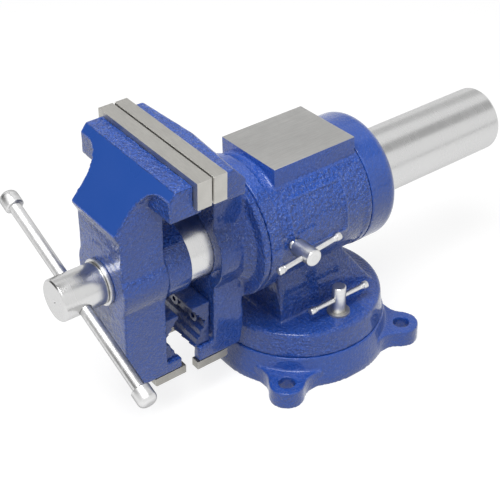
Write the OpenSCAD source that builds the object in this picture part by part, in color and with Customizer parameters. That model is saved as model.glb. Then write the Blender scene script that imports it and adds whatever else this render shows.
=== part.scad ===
// Swivel bench vise: turning base, turning head on a round ram, flat jaws above and pipe jaws below.
// The swivel axis is Z, the bench is z = 0, the handle end is -Y and +X is right as seen from the handle.

/* [Base] */
// Diameter of the base at the bench
base_d = 157.8; // [152:0.1:164]
// Diameter of the base at the swivel seam
base_top_d = 150; // [148:0.1:154]
// Height of the base at the swivel seam
base_h = 28; // [27:0.1:32]
// Thickness of the base's outer wall
base_wall = 9; // [7:0.1:11]
// Depth of the hollow under the base
base_hollow = 11.5; // [10.8:0.1:11.8]
// Diameter of the circle through the bench bolt holes
ear_pcd = 182; // [178:0.1:190]
// Diameter of a bench bolt hole
ear_hole_d = 13.8; // [9:0.1:15]
// Radius of an ear's round end
ear_r = 15; // [13:0.1:17]
// Thickness of an ear
ear_t = 16; // [12:0.1:18]
// Radius of the hollow fillet between an ear and the base
ear_fillet = 20; // [12:0.1:24]

/* [Swivel] */
// Diameter of the swivel disc at the seam
disc_d = 148; // [146:0.1:153]
// Diameter of the swivel disc's flat top
disc_top_d = 137.8; // [134:0.1:141]
// Thickness of the swivel disc
disc_h = 22.6; // [20:0.1:25]
// Radius of the swivel disc's top edge
disc_round = 3; // [1:0.1:4]
// Diameter of the pivot bolt
pivot_d = 16; // [12:0.1:18]
// Thickness of the disc's web that the pivot bolt screws into
pivot_web_t = 15.6; // [14:0.1:18]

/* [Pedestal] */
// Distance of the pedestal's front face before the swivel axis
pedestal_front = 46; // [42:0.1:50]
// Distance of the pedestal's foot behind the swivel axis
pedestal_rear = 55; // [50:0.1:57]
// Distance of the pedestal's rear face behind the swivel axis, at the barrel
pedestal_top_rear = 22; // [16:0.1:28]
// Width of the pedestal at the swivel disc
pedestal_w = 70.2; // [66:0.1:74]
// Width of the pedestal at the barrel
pedestal_top_w = 60.4; // [56:0.1:66]
// Thickness of the pedestal's walls
pedestal_wall = 11; // [9:0.1:13]

/* [Barrel] */
// Height of the head axis above the bench
axis_h = 141.2; // [140:0.1:150]
// Diameter of the barrel
barrel_d = 108; // [106:0.1:110]
// Diameter of the barrel's front collar and of the head's flange
collar_d = 115; // [113:0.1:118]
// Length of the barrel's front collar
collar_l = 12; // [8:0.1:16]
// Diameter of the barrel's rear collar
rear_collar_d = 109.6; // [109:0.1:114]
// Length of the barrel's rear collar
rear_collar_l = 5; // [4:0.1:8]
// Distance of the barrel's front face before the swivel axis
barrel_front = 73; // [71:0.1:74]
// Distance of the barrel's rear face behind the swivel axis
barrel_rear = 32.9; // [30.5:0.1:36]
// Diameter of the head's sleeve inside the barrel
sleeve_d = 88; // [84:0.1:90]
// Width of the anvil
anvil_w = 66.8; // [60:0.1:72]
// Distance of the anvil's front edge before the swivel axis
anvil_front = 51.6; // [48:0.1:56]
// Distance of the anvil's rear edge behind the swivel axis
anvil_rear = 29.6; // [26:0.1:30]
// Height of the anvil's face above the head axis
anvil_rise = 59; // [57:0.1:64]
// Length of the raised frame on the barrel's sides
panel_l = 57; // [44:0.1:60]
// Height of the raised frame on the barrel's sides
panel_h = 44; // [30:0.1:46]
// Distance from the raised frame to the barrel's rear face
panel_set = 26; // [20:0.1:28]
// Height of the raised frame's middle above the head axis
panel_up = 13; // [10:0.1:13.5]
// Width of the raised frame's rib
panel_rib = 2; // [1.5:0.1:3]
// Height of the raised frame above the barrel
panel_rise = 0.9; // [0.5:0.1:1.2]

/* [Rear cap] */
// Diameter of the rear cap
cap_d = 109.6; // [109:0.1:115]
// Length of the rear cap
cap_l = 29.3; // [26:0.1:32]
// Radius of the rear cap's outer edge
cap_round = 10; // [6:0.1:12]
// Diameter of the rear cap's screws
cap_screw_d = 6; // [5:0.1:7]
// Length of a rear cap screw below its head
cap_screw_l = 34; // [33:0.1:38]

/* [Head] */
// Turn of the head about its own axis, with the right side down
head_roll = 2.9; // [-6:0.1:6]
// Distance from the swivel axis to the back of the rear jaw plate
head_reach = 121.3; // [119:0.1:124]
// Thickness of the head's flange before the barrel
flange_t = 6.3; // [5.5:0.1:8]
// Width of the jaws' necks
neck_w = 58.8; // [56:0.1:62]
// Distance from the head axis down to the moving neck's lower end
neck_drop = 93.4; // [91:0.1:96]
// Distance from the head axis down to the static neck's lower end
static_neck_drop = 97.3; // [95:0.1:98]
// Width of the jaws' heads
wing_w = 116.6; // [110:0.1:120]
// Height of the jaws' heads
wing_h = 25.3; // [24.5:0.1:28]
// Radius of the hollow between a neck and its jaw head
fan_r = 20; // [16:0.1:20.5]
// Diameter of the moving jaw's boss round the ram
boss_d = 66; // [64:0.1:67]
// Diameter of the static jaw's boss round the ram
static_boss_d = 81; // [78:0.1:82]

/* [Jaw plates] */
// Length of a jaw plate
jaw_w = 127; // [120:0.1:130]
// Height of a jaw plate
plate_h = 22.5; // [21.5:0.1:24]
// Thickness of the static jaw's plate
plate_t = 11.5; // [10.5:0.1:13]
// Thickness of the moving jaw's plate
front_plate_t = 12.9; // [11.5:0.1:14]
// Height of the jaw plates' tops above the head axis
plate_rise = 103.7; // [103:0.1:106]
// Height of the jaw plates above the castings
plate_proud = 4.2; // [3:0.1:5]
// Opening between the jaw plates as shown
jaw_gap = 1.1; // [1.1:0.1:6]
// Width of one tooth of the jaw plates
tooth_pitch = 2.1; // [1.8:0.1:3]
// Depth of one tooth of the jaw plates
tooth_depth = 0.7; // [0.4:0.1:1]
// Diameter of the jaw plates' screws
plate_screw_d = 8; // [6:0.1:9]
// Distance between the two screws of a jaw plate
plate_screw_span = 76; // [70:0.1:84]

/* [Moving jaw] */
// Depth of the moving jaw's flat top
moving_top_l = 14.4; // [12:0.1:16]
// Depth of the moving jaw's head at its ends
moving_wing_l = 19.7; // [18.5:0.1:22]
// Distance from the moving jaw's seat to the tip of its nose
nose_reach = 48.2; // [47:0.1:52]
// Height of the sloped face from the nose to the flat top
nose_drop = 41.3; // [38:0.1:43]
// Distance from the moving jaw's seat to its front face
moving_front = 43.7; // [42:0.1:46]
// Distance from the moving jaw's seat to its inner face
moving_inner = 6.4; // [6:0.1:8]
// Length of the boss behind the moving jaw's inner face
moving_collar_l = 24; // [20:0.1:26]

/* [Static jaw] */
// Depth of the static jaw's flat top at the middle
static_top_l = 14.5; // [14:0.1:17]
// Depth of the static jaw's flat top at its ends
static_top_end_l = 10; // [8:0.1:12]
// Depth of the static jaw's head below its top
static_wing_l = 20.8; // [19:0.1:22]
// Distance from the static jaw's seat to its inner face
static_inner = 13.3; // [12.5:0.1:14]
// Distance of the static neck's lower back before the swivel axis
static_back = 78.3; // [78.1:0.1:79.4]

/* [Pipe jaws] */
// Width of the pipe jaws
pipe_w = 52; // [48:0.1:54]
// Distance from the head axis down to the pipe jaws' tops
pipe_top_drop = 42.3; // [41.5:0.1:44]
// Distance from the head axis down to the pipe jaws' hollows
pipe_mid_drop = 61.5; // [58:0.1:64]
// Distance from the head axis down to the pipe jaws' bottoms
pipe_end_drop = 83.2; // [81:0.1:85]
// Depth of the pipe jaws' hollows
pipe_hollow = 17.8; // [15:0.1:18.2]
// Depth of a pipe jaw from the jaw plate's face to its back
pipe_depth = 24.8; // [24:0.1:25.5]
// Depth of one pipe jaw tooth
pipe_tooth = 2; // [1:0.1:2.4]
// Width of one cheek below the pipe jaws
cheek_w = 8; // [7:0.1:9]
// Thickness of the steel foot bars
foot_t = 7.6; // [5:0.1:8]
// Length of a foot bar
foot_l = 29.7; // [26:0.1:31]

/* [Ram] */
// Diameter of the ram
ram_d = 58; // [56:0.1:59]
// Thickness of the ram's wall
ram_wall = 7; // [6:0.1:8]
// Distance of the ram's end behind the swivel axis
ram_end = 209.5; // [204:0.1:216]
// Depth of the ram's seat in the moving jaw
ram_seat = 27; // [24:0.1:29]
// Rounding of the ram's rear edge
ram_round = 3; // [1:0.1:4]
// Farthest opening of the jaws beyond the opening as shown
travel = 125; // [110:0.1:127]

/* [Spindle] */
// Diameter of the spindle's screw
spindle_d = 20; // [18:0.1:22]
// Diameter of the spindle's head
spindle_head_d = 34; // [32:0.1:36]
// Length of the spindle's head
spindle_head_l = 36.9; // [34:0.1:40]
// Diameter of the thrust washer
thrust_d = 38; // [37:0.1:41]
// Thickness of the thrust washer
thrust_t = 3.5; // [2.5:0.1:4.5]
// Length of the spindle nut
nut_l = 26; // [24:0.1:27]
// Diameter of the handle bar
handle_d = 10; // [9:0.1:11]
// Distance between the middles of the handle's knobs
handle_l = 192.6; // [180:0.1:200]
// Shift of the handle bar towards the right
handle_shift = 1.8; // [-20:0.1:20]
// Diameter of the handle's knobs
knob_d = 15.4; // [14:0.1:17]
// Distance from the spindle's face to the handle bar
handle_set = 16.9; // [14:0.1:20]
// Slope of the handle bar across the vise
handle_a = 23.5; // [0:0.1:45]

/* [Lock screws] */
// Diameter of the lock screws' threads
lock_d = 9; // [8:0.1:9.6]
// Diameter of the head lock's screw head
head_lock_d = 14; // [12:0.1:15]
// Distance from the vise's middle to the head lock's screw head
head_lock_x = 57.8; // [56.5:0.1:60]
// Length of the head lock's screw head
head_lock_l = 20.4; // [19:0.1:22]
// Distance of the head lock before the swivel axis
head_lock_y = 48.3; // [46:0.1:50]
// Slope of the head lock's bar along the vise
head_bar_a = 6.8; // [0:0.1:30]
// Diameter of the swivel lock's screw head
swivel_lock_d = 12; // [11:0.1:14]
// Length of the swivel lock's screw head
swivel_lock_l = 24.6; // [23:0.1:26]
// Distance of the swivel lock from the swivel axis
swivel_lock_r = 52; // [51.5:0.1:53]
// Angle of the swivel lock round the swivel axis
swivel_lock_a = 1.6; // [0:0.1:4]
// Diameter of the lock bars
lock_bar_d = 4.4; // [4:0.1:5]
// Shift of the head lock's bar towards the rear
head_bar_shift = 1.4; // [1.2:0.1:6]
// Length of a lock bar between its caps
lock_bar_l = 52.4; // [48:0.1:52.6]
// Diameter of a lock bar's caps
lock_cap_d = 6.6; // [6:0.1:7]
// Length of a lock bar's cap
lock_cap_l = 5; // [4:0.1:6]

/* [Hidden] */
$fn = 72;

// Clearances: a running fit, a screw in its own thread, a gap between bodies, and the overrun of a cut
run_fit = 0.06;
screw_fit = 0.02;
body_gap = 0.3;
over = 2;

// Finishes
enamel = [0.16, 0.30, 0.68];
steel = [0.72, 0.72, 0.72];
plate_steel = [0.66, 0.65, 0.62];
dark_steel = [0.25, 0.25, 0.27];
brass = [0.75, 0.60, 0.30];

// Base: the annular slot for the clamp nut, and the small edges
base_rim_h = 6;
slot_w = 11;
slot_roof = 5;
slot_chamber_w = 20;
base_floor_t = 4;
slot_floor = base_hollow + base_floor_t;
hub_bore = pivot_d/2 + run_fit;
pivot_head_t = 7.2;
pivot_head_af = 24;
pivot_washer_d = 30;
pivot_washer_t = 2.5;
pivot_nut_af = 24;
pivot_nut_t = 12;
pivot_tip = 2;
core_hole_d = 12;

// Body: heights and the pivot's web
disc_top = base_h + disc_h;
web_top = base_h + pivot_web_t;
bore_r = sleeve_d/2 + run_fit;
cavity_roof_t = 12;
cavity_top = axis_h - bore_r - cavity_roof_t;
cavity_hw = pedestal_w/2 - pedestal_wall;
cavity_front = -pedestal_front + pedestal_wall;
pedestal_join = axis_h - sqrt(pow(barrel_d/2, 2) - pow(pedestal_top_w/2, 2));
pedestal_lean = (pedestal_rear - pedestal_top_rear)/(pedestal_join - disc_top);
cavity_rear = pedestal_rear - pedestal_wall*4/3;
cavity_top_rear = cavity_rear - pedestal_lean*(cavity_top - disc_top);
panel_rear = barrel_rear - panel_set;

// Head: planes along the vise, from the static jaw's seat forward
static_seat = -head_reach;
rear_face = static_seat - plate_t;
front_face = rear_face - jaw_gap;
moving_seat = front_face - front_plate_t;
fan_drop = 1.4;
jaw_top = axis_h + plate_rise - plate_proud;
plate_top = axis_h + plate_rise;
plate_bottom = plate_top - plate_h;
wing_bottom = jaw_top - wing_h;
neck_bottom = axis_h - neck_drop;
static_bottom = axis_h - static_neck_drop;
fan_top = wing_bottom + fan_r - fan_drop;
ledge_share = 0.62;
wing_slice = 0.5;
ledge_l = plate_t*ledge_share;
ledge_top = plate_bottom - body_gap;
flange_back = -barrel_front - body_gap;
flange_front = flange_back - flange_t;
static_face = static_seat + static_inner;
moving_face = moving_seat - moving_inner;
moving_front_y = moving_seat - moving_front;
nose_y = moving_seat - nose_reach;
nose_z = jaw_top - nose_drop;
boss_proud = 0.4;
boss_front = moving_front_y - boss_proud;
collar_end = moving_face + moving_collar_l;
collar_step = 1.3;
cap_front = barrel_rear + body_gap;
cap_rear = cap_front + cap_l;

// Pipe jaws: heights, and depths behind the face of the jaw plate beside them
pipe_top = axis_h - pipe_top_drop;
pipe_mid = axis_h - pipe_mid_drop;
pipe_end = axis_h - pipe_end_drop;
pipe_tip = 6;
pipe_land = 3;
pipe_low_tip = 7;
pipe_step = 2.5;
saw_share = 0.8;
pipe_teeth_top = 4;
pipe_teeth_low = 3;
pipe_screw_d = 6;
pipe_screw_span = pipe_w/2;
pipe_screw_l = 16;
pipe_head_d = 10.4;
pipe_head_t = 3.5;
foot_set = 2.1;
static_foot_set = 8.4;
foot_edge = 1.5;
foot_screw_d = 4;
foot_screw_l = 7.5;
foot_head_t = 2.4;
foot_screw_shares = [0.25, 0.75];
countersink_share = 1.2;
lip_set = 5.8;
static_lip_set = 10;
lip_top = pipe_end - body_gap;

// Ram, spindle and nut
ram_bore = ram_d/2 - ram_wall;
ram_front = moving_face - ram_seat;
key_d = 10;
key_head_d = 16;
key_head_t = 7;
key_head_top = sqrt(pow(sleeve_d/2, 2) - pow(key_head_d/2, 2)) - body_gap;
key_wall = 3.6;
key_y = flange_front + key_head_d/2 + key_wall;
key_depth = 7;
key_slack = 1;
key_slot_front = key_y - key_d/2 - jaw_gap - key_slack;
key_slot_rear = key_y + key_d/2 + travel + key_slack;
cap_plug_l = 10;
cap_plug_rise = 1.4;
stub_d = 10;
stub_l = 4.5;
spindle_shoulder = boss_front - thrust_t - body_gap;
spindle_face = spindle_shoulder - spindle_head_l;
retainer_d = 32;
retainer_t = 9;
retainer_pin_d = 4;
handle_y = spindle_face + handle_set;
knob_l = 14;
knob_round = 3.5;
head_chamfer = 1.2;

// Locks
lock_washer_d = 19.4;
lock_washer_t = 2;
clamp_nut_w = 17;
clamp_nut_l = 19;
clamp_nut_gap = 0.3;
slot_ceiling = base_h - slot_roof;
clamp_nut_t = slot_ceiling - slot_floor - 2*clamp_nut_gap;
swivel_x = swivel_lock_r*cos(swivel_lock_a);
swivel_y = swivel_lock_r*sin(swivel_lock_a);
swivel_head_low = disc_top + lock_washer_t;
swivel_bar_z = swivel_head_low + swivel_lock_l/2;
bar_hole_share = 0.62;
head_bar_x = head_lock_x + head_lock_l*bar_hole_share;
plug_t = 3;
lock_round = 1.5;
lock_cap_neck = 1;

// Jaw plate screws
screw_head_share = 1.5;
socket_share = 0.75;
plate_head_d = plate_screw_d*screw_head_share;
plate_head_t = plate_screw_d;
plate_screw_l = 12.5;
plate_mid = plate_top - plate_h/2;
plate_head_sink = 1.2;

// Extrude a side view, drawn as y and z, to a width across the vise
module across(w) rotate([90, 0, 90]) linear_extrude(w, center = true) children();

// Extrude a front view, drawn as x and z, from one y to another
module along(y0, y1) translate([0, y1, 0]) rotate([90, 0, 0]) linear_extrude(y1 - y0) children();

// A rod along the vise on the head axis
module rod(r, y0, y1) translate([0, y0, axis_h]) rotate([-90, 0, 0]) cylinder(r = r, h = y1 - y0);

// A turned shape on the head axis, drawn as radius and y
module turned() translate([0, 0, axis_h]) rotate([-90, 0, 0]) rotate_extrude() children();

// The head's turn about its own axis
module rolled() translate([0, 0, axis_h]) rotate([0, head_roll, 0]) translate([0, 0, -axis_h]) children();

// Points of a quarter arc round a centre, from one angle to another
function arc(c, r, a0, a1, n = 8) =
    [for (i = [0:n]) let (a = a0 + (a1 - a0)*i/n) c + r*[cos(a), sin(a)]];

// A hexagon by its width across flats
module hex(af, h) cylinder(d = af/cos(30), h = h, $fn = 6);

// A place on the four corners of the base
module at_ears() for (i = [0:3]) rotate([0, 0, 90*i + 45]) translate([ear_pcd/2, 0, 0]) children();

// Base: a hollow ring with four ears and an annular slot for the clamp nut
ear_c = (pow(ear_pcd/2, 2) + pow(base_d/2 + ear_fillet, 2) - pow(ear_r + ear_fillet, 2))/ear_pcd;
ear_s = sqrt(pow(base_d/2 + ear_fillet, 2) - ear_c*ear_c);

module ear_shape() {
    difference() {
        polygon([[0, 0], [ear_c, ear_s], [ear_pcd/2, 0], [ear_c, -ear_s]]);
        for (s = [-1, 1]) translate([ear_c, s*ear_s]) circle(r = ear_fillet);
    }
    translate([ear_pcd/2, 0]) circle(r = ear_r);
}

module base_ring() rotate_extrude() polygon([
    [hub_bore, base_hollow], [base_d/2 - base_wall, base_hollow], [base_d/2 - base_wall, 0],
    [base_d/2, 0], [base_d/2, base_rim_h], [base_top_d/2, base_h],
    [swivel_lock_r + slot_w/2, base_h], [swivel_lock_r + slot_w/2, slot_ceiling],
    [swivel_lock_r + slot_chamber_w/2, slot_ceiling], [swivel_lock_r + slot_chamber_w/2, slot_floor],
    [swivel_lock_r - slot_chamber_w/2, slot_floor], [swivel_lock_r - slot_chamber_w/2, slot_ceiling],
    [swivel_lock_r - slot_w/2, slot_ceiling], [swivel_lock_r - slot_w/2, base_h], [hub_bore, base_h]]);

module base_plate() color(enamel) {
    base_ring();
    difference() {
        for (i = [0:3]) rotate([0, 0, 90*i + 45]) linear_extrude(ear_t) ear_shape();
        translate([0, 0, -over]) cylinder(r = base_d/2 - base_wall/2, h = ear_t + 2*over);
        translate([0, 0, -over]) at_ears() cylinder(d = ear_hole_d, h = ear_t + 2*over);
    }
}

// Pivot: a bolt up through the base into the body's web, with its washer and nut
pivot_head_top = base_hollow - body_gap - pivot_washer_t;

module pivot_bolt() color(steel) {
    translate([0, 0, pivot_head_top - pivot_head_t]) hex(pivot_head_af, pivot_head_t);
    translate([0, 0, pivot_head_top - pivot_head_t/2])
        cylinder(d = pivot_d, h = web_top + pivot_nut_t + pivot_tip - pivot_head_top + pivot_head_t/2);
}

module pivot_washer() color(steel) translate([0, 0, pivot_head_top]) difference() {
    cylinder(d = pivot_washer_d, h = pivot_washer_t);
    translate([0, 0, -over]) cylinder(r = hub_bore, h = pivot_washer_t + 2*over);
}

module pivot_nut() color(steel) translate([0, 0, web_top]) difference() {
    hex(pivot_nut_af, pivot_nut_t);
    translate([0, 0, -over]) cylinder(r = pivot_d/2 + screw_fit, h = pivot_nut_t + 2*over);
}

module swivel_clamp_nut() color(steel)
    rotate([0, 0, swivel_lock_a]) translate([swivel_lock_r, 0, slot_floor + clamp_nut_gap]) difference() {
        linear_extrude(clamp_nut_t) square([clamp_nut_w, clamp_nut_l], center = true);
        translate([0, 0, -over]) cylinder(r = lock_d/2 + screw_fit, h = clamp_nut_t + 2*over);
    }

// Body: swivel disc, pedestal, barrel and anvil in one casting
module disc() rotate_extrude() polygon(concat(
    [[0, base_h], [disc_d/2, base_h], [disc_top_d/2 + disc_round, disc_top - disc_round]],
    arc([disc_top_d/2, disc_top - disc_round], disc_round, 0, 90, 6), [[0, disc_top]]));

module pedestal() intersection() {
    across(pedestal_w) polygon([
        [-pedestal_front, base_h + disc_h/2], [pedestal_rear, base_h + disc_h/2], [pedestal_rear, disc_top],
        [pedestal_top_rear, pedestal_join], [pedestal_top_rear, axis_h], [-pedestal_front, axis_h]]);
    along(-pedestal_front - over, pedestal_rear + over) polygon([
        [-pedestal_w/2, base_h], [pedestal_w/2, base_h], [pedestal_w/2, disc_top],
        [pedestal_top_w/2, pedestal_join], [pedestal_top_w/2, axis_h],
        [-pedestal_top_w/2, axis_h], [-pedestal_top_w/2, pedestal_join], [-pedestal_w/2, disc_top]]);
}

module barrel() {
    rod(barrel_d/2, -barrel_front + collar_l/2, barrel_rear - rear_collar_l/2);
    rod(collar_d/2, -barrel_front, -barrel_front + collar_l);
    rod(rear_collar_d/2, barrel_rear - rear_collar_l, barrel_rear);
}

module panel_frame() intersection() {
    rod(barrel_d/2 + panel_rise, -barrel_front, barrel_rear);
    across(collar_d) translate([panel_rear - panel_l/2, axis_h + panel_up]) difference() {
        square([panel_l, panel_h], center = true);
        square([panel_l - 2*panel_rib, panel_h - 2*panel_rib], center = true);
    }
}

module body_casting() color(enamel) difference() {
    union() {
        disc();
        pedestal();
        barrel();
        panel_frame();
        translate([-anvil_w/2, -anvil_front, axis_h]) cube([anvil_w, anvil_front + anvil_rear, anvil_rise]);
    }
    rod(bore_r, -barrel_front - over, barrel_rear + over);
    translate([0, 0, base_h - over]) cylinder(r = pivot_d/2 + screw_fit, h = web_top - base_h + 2*over);
    across(2*cavity_hw) polygon([[cavity_front, web_top], [cavity_rear, web_top], [cavity_rear, disc_top],
        [cavity_top_rear, cavity_top], [cavity_front, cavity_top]]);
    for (s = [-1, 1]) translate([0, s*(pivot_nut_af/2 + core_hole_d), base_h - over])
        cylinder(d = core_hole_d, h = web_top - base_h + 2*over);
    translate([swivel_x, swivel_y, base_h - over]) cylinder(r = lock_d/2 + body_gap, h = disc_h + 2*over);
    translate([0, -head_lock_y, axis_h]) rotate([0, 90, 0])
        cylinder(r = lock_d/2 + screw_fit + run_fit/2, h = collar_d/2);
}

// A lock bar along X with its middle at the origin, and its two caps
module lock_bar_rod() rotate([0, 90, 0]) cylinder(d = lock_bar_d, h = lock_bar_l, center = true);

module lock_bar_caps() for (s = [-1, 1]) scale([s, 1, 1])
    translate([lock_bar_l/2, 0, 0]) rotate([0, 90, 0]) rotate_extrude() polygon([
        [0, 0], [lock_bar_d/2 + lock_cap_neck/2, 0], [lock_cap_d/2, lock_cap_neck],
        [lock_cap_d/2, lock_cap_l - lock_cap_neck], [lock_cap_d/2 - lock_cap_neck, lock_cap_l],
        [0, lock_cap_l]]);

// Swivel lock: a screw down through the disc into the clamp nut
module at_swivel_bar() translate([swivel_x, swivel_y, swivel_bar_z]) rotate([0, 0, 90]) children();

module swivel_lock_washer() color(steel) translate([swivel_x, swivel_y, disc_top]) difference() {
    cylinder(d = lock_washer_d, h = lock_washer_t);
    translate([0, 0, -over]) cylinder(r = lock_d/2 + body_gap, h = lock_washer_t + 2*over);
}

module swivel_lock_screw() color(steel) difference() {
    translate([swivel_x, swivel_y, 0]) {
        translate([0, 0, swivel_head_low]) rotate_extrude() polygon(concat([[0, 0], [swivel_lock_d/2, 0]],
            arc([swivel_lock_d/2 - lock_round, swivel_lock_l - lock_round], lock_round, 0, 90, 6),
            [[0, swivel_lock_l]]));
        translate([0, 0, slot_floor + clamp_nut_gap])
            cylinder(d = lock_d, h = swivel_head_low - slot_floor + lock_round);
    }
    at_swivel_bar() rotate([0, 90, 0])
        cylinder(r = lock_bar_d/2 + run_fit, h = swivel_lock_d + 2*over, center = true);
}

module swivel_lock_bar() color(steel) at_swivel_bar() lock_bar_rod();

module swivel_lock_bar_caps() color(steel) at_swivel_bar() lock_bar_caps();

// Head lock: a screw through the barrel's side onto a brass plug that bears on the sleeve
module at_head_bar() translate([head_bar_x, -head_lock_y, axis_h])
    rotate([head_bar_a, 0, 0]) translate([0, head_bar_shift, 0]) rotate([0, 0, 90]) children();

module head_lock_plug() color(brass) translate([sleeve_d/2 + body_gap, -head_lock_y, axis_h])
    rotate([0, 90, 0]) cylinder(d = lock_d, h = plug_t);

module head_lock_screw() color(steel) difference() {
    translate([0, -head_lock_y, axis_h]) rotate([0, 90, 0]) {
        translate([0, 0, head_lock_x]) rotate_extrude() polygon(concat([[0, 0], [head_lock_d/2, 0]],
            arc([head_lock_d/2 - lock_round, head_lock_l - lock_round], lock_round, 0, 90, 6),
            [[0, head_lock_l]]));
        translate([0, 0, sleeve_d/2 + body_gap + plug_t])
            cylinder(d = lock_d, h = head_lock_x - sleeve_d/2 - plug_t + lock_round);
    }
    at_head_bar() rotate([0, 90, 0])
        cylinder(r = lock_bar_d/2 + run_fit, h = head_lock_d + 2*over, center = true);
}

module head_lock_bar() color(steel) at_head_bar() lock_bar_rod();

module head_lock_bar_caps() color(steel) at_head_bar() lock_bar_caps();

// Front view shared by both jaws: neck, hollow quarter rounds and the width of the head
module jaw_front(bottom) {
    translate([-neck_w/2, bottom]) square([neck_w, wing_bottom - bottom]);
    difference() {
        translate([-neck_w/2 - fan_r, fan_top - fan_r])
            square([neck_w + 2*fan_r, jaw_top - fan_top + fan_r]);
        for (s = [-1, 1]) translate([s*(neck_w/2 + fan_r), fan_top - fan_r]) circle(r = fan_r);
    }
}

// Screws that hold a jaw plate, pointing from the plate's face at y into the jaw, s = 1 towards +Y
module at_plate_screws(y, s) for (x = [-1, 1])
    translate([x*plate_screw_span/2, y, plate_mid]) rotate([-90*s, 0, 0]) children();

module plate_screw(t) difference() {
    union() {
        translate([0, 0, plate_head_sink]) cylinder(d = plate_head_d, h = plate_head_t);
        translate([0, 0, plate_head_sink + plate_head_t/2])
            cylinder(d = plate_screw_d, h = t - plate_head_sink - plate_head_t/2 + plate_screw_l);
    }
    translate([0, 0, -over]) hex(plate_screw_d*socket_share, plate_head_sink + plate_head_t/2 + over);
}

module plate_screw_hole(t) {
    translate([0, 0, -over])
        cylinder(r = plate_head_d/2 + run_fit, h = over + plate_head_sink + plate_head_t);
    translate([0, 0, -over])
        cylinder(r = plate_screw_d/2 + screw_fit, h = over + t + plate_screw_l + body_gap);
}

// A jaw plate with its teeth at face_y, its back towards s
module jaw_plate(face_y, s, t) difference() {
    teeth = floor(jaw_w/tooth_pitch);
    step = jaw_w/teeth;
    translate([0, face_y, plate_bottom]) scale([1, s, 1]) linear_extrude(plate_h) polygon(concat(
        [[jaw_w/2, t], [-jaw_w/2, t], [-jaw_w/2, tooth_depth]],
        [for (i = [0:teeth - 1], k = [1, 2]) [-jaw_w/2 + (i + k/2)*step, (k - 1)*tooth_depth]]));
    at_plate_screws(face_y, s) plate_screw_hole(t);
}

// A side view of a pipe jaw: depth behind the face, then height
function between(a, b, t) = a + (b - a)*t;
function saw(a, b, n, out) =
    [for (i = [0:n - 1], k = [0, 1]) between(a, b, (i + k*saw_share)/n) + k*out];

pipe_tip_point = [pipe_tip, pipe_top - pipe_land];
pipe_mid_point = [pipe_hollow, pipe_mid];
pipe_low_point = [pipe_low_tip, pipe_end];

module pipe_jaw(face_y, s) difference() {
    translate([0, face_y, 0]) scale([1, s, 1]) {
        across(pipe_w) intersection() {
            polygon(concat([[pipe_depth, pipe_top], [pipe_tip, pipe_top]],
                saw(pipe_tip_point, pipe_mid_point, pipe_teeth_top, [pipe_tooth, 0]),
                saw(pipe_mid_point, pipe_low_point, pipe_teeth_low, [pipe_tooth, 0]),
                [pipe_low_point, [pipe_depth, pipe_end]]));
            translate([0, pipe_end]) square([pipe_depth - pipe_step, pipe_top - pipe_end]);
        }
        across(pipe_w - 3*pipe_step) translate([pipe_depth - 2*pipe_step, pipe_end + pipe_step])
            square([2*pipe_step, pipe_top - pipe_end - 2*pipe_step]);
    }
    at_pipe_screws(face_y, s) pipe_screw_hole();
}

module at_pipe_screws(y, s) for (x = [-1, 1])
    translate([x*pipe_screw_span/2, y, pipe_mid]) rotate([-90*s, 0, 0]) children();

pipe_seat_t = 1;
pipe_seat = pipe_hollow + pipe_seat_t;

module pipe_screw() difference() {
    union() {
        translate([0, 0, pipe_seat - pipe_head_t]) cylinder(d = pipe_head_d, h = pipe_head_t);
        translate([0, 0, pipe_seat - pipe_head_t/2])
            cylinder(d = pipe_screw_d, h = pipe_screw_l + pipe_head_t/2);
    }
    translate([0, 0, pipe_seat - pipe_head_t - over]) hex(pipe_screw_d*socket_share, pipe_head_t/2 + over);
}

module pipe_screw_hole() {
    cylinder(r = pipe_head_d/2 + run_fit, h = pipe_seat);
    cylinder(r = pipe_screw_d/2 + screw_fit, h = pipe_seat + pipe_screw_l + body_gap);
}

// Foot bars below the cheeks, from start_y back towards s, and their screws from below
module foot_bars(start_y, s, top) difference() {
    for (x = [-1, 1]) translate([x*(neck_w - cheek_w)/2, start_y, top - foot_t]) scale([1, s, 1])
        across(cheek_w) polygon([[0, 0], [0, foot_t], [foot_l, foot_t], [foot_l, foot_edge],
            [foot_l - foot_edge, 0]]);
    at_foot_screws(start_y, s, top) foot_screw_hole();
}

module at_foot_screws(start_y, s, top) for (x = [-1, 1], k = foot_screw_shares)
    translate([x*(neck_w - cheek_w)/2, start_y + s*k*foot_l, top - foot_t]) children();

module foot_screw() {
    cylinder(d1 = foot_screw_d + countersink_share*foot_head_t, d2 = foot_screw_d, h = foot_head_t);
    translate([0, 0, foot_head_t/2]) cylinder(d = foot_screw_d, h = foot_t - foot_head_t/2 + foot_screw_l);
}

module foot_screw_hole() {
    cylinder(r1 = (foot_screw_d + countersink_share*foot_head_t)/2 + screw_fit,
        r2 = foot_screw_d/2 + screw_fit, h = foot_head_t);
    translate([0, 0, -over])
        cylinder(r = foot_screw_d/2 + screw_fit, h = over + foot_t + foot_screw_l + body_gap);
}

// The open space between a jaw's cheeks, and the seat of its pipe jaw
module cheek_space(y0, y1, bottom) translate([-neck_w/2 + cheek_w, y0, bottom - over])
    cube([neck_w - 2*cheek_w, y1 - y0, lip_top - bottom + over + body_gap]);

// Static jaw: head, neck, flange and the sleeve that turns in the barrel
static_slope_end = axis_h + collar_d/2;
static_slope = 1.12;
static_foot_y = rear_face + static_foot_set;
moving_foot_y = front_face - foot_set;

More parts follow.
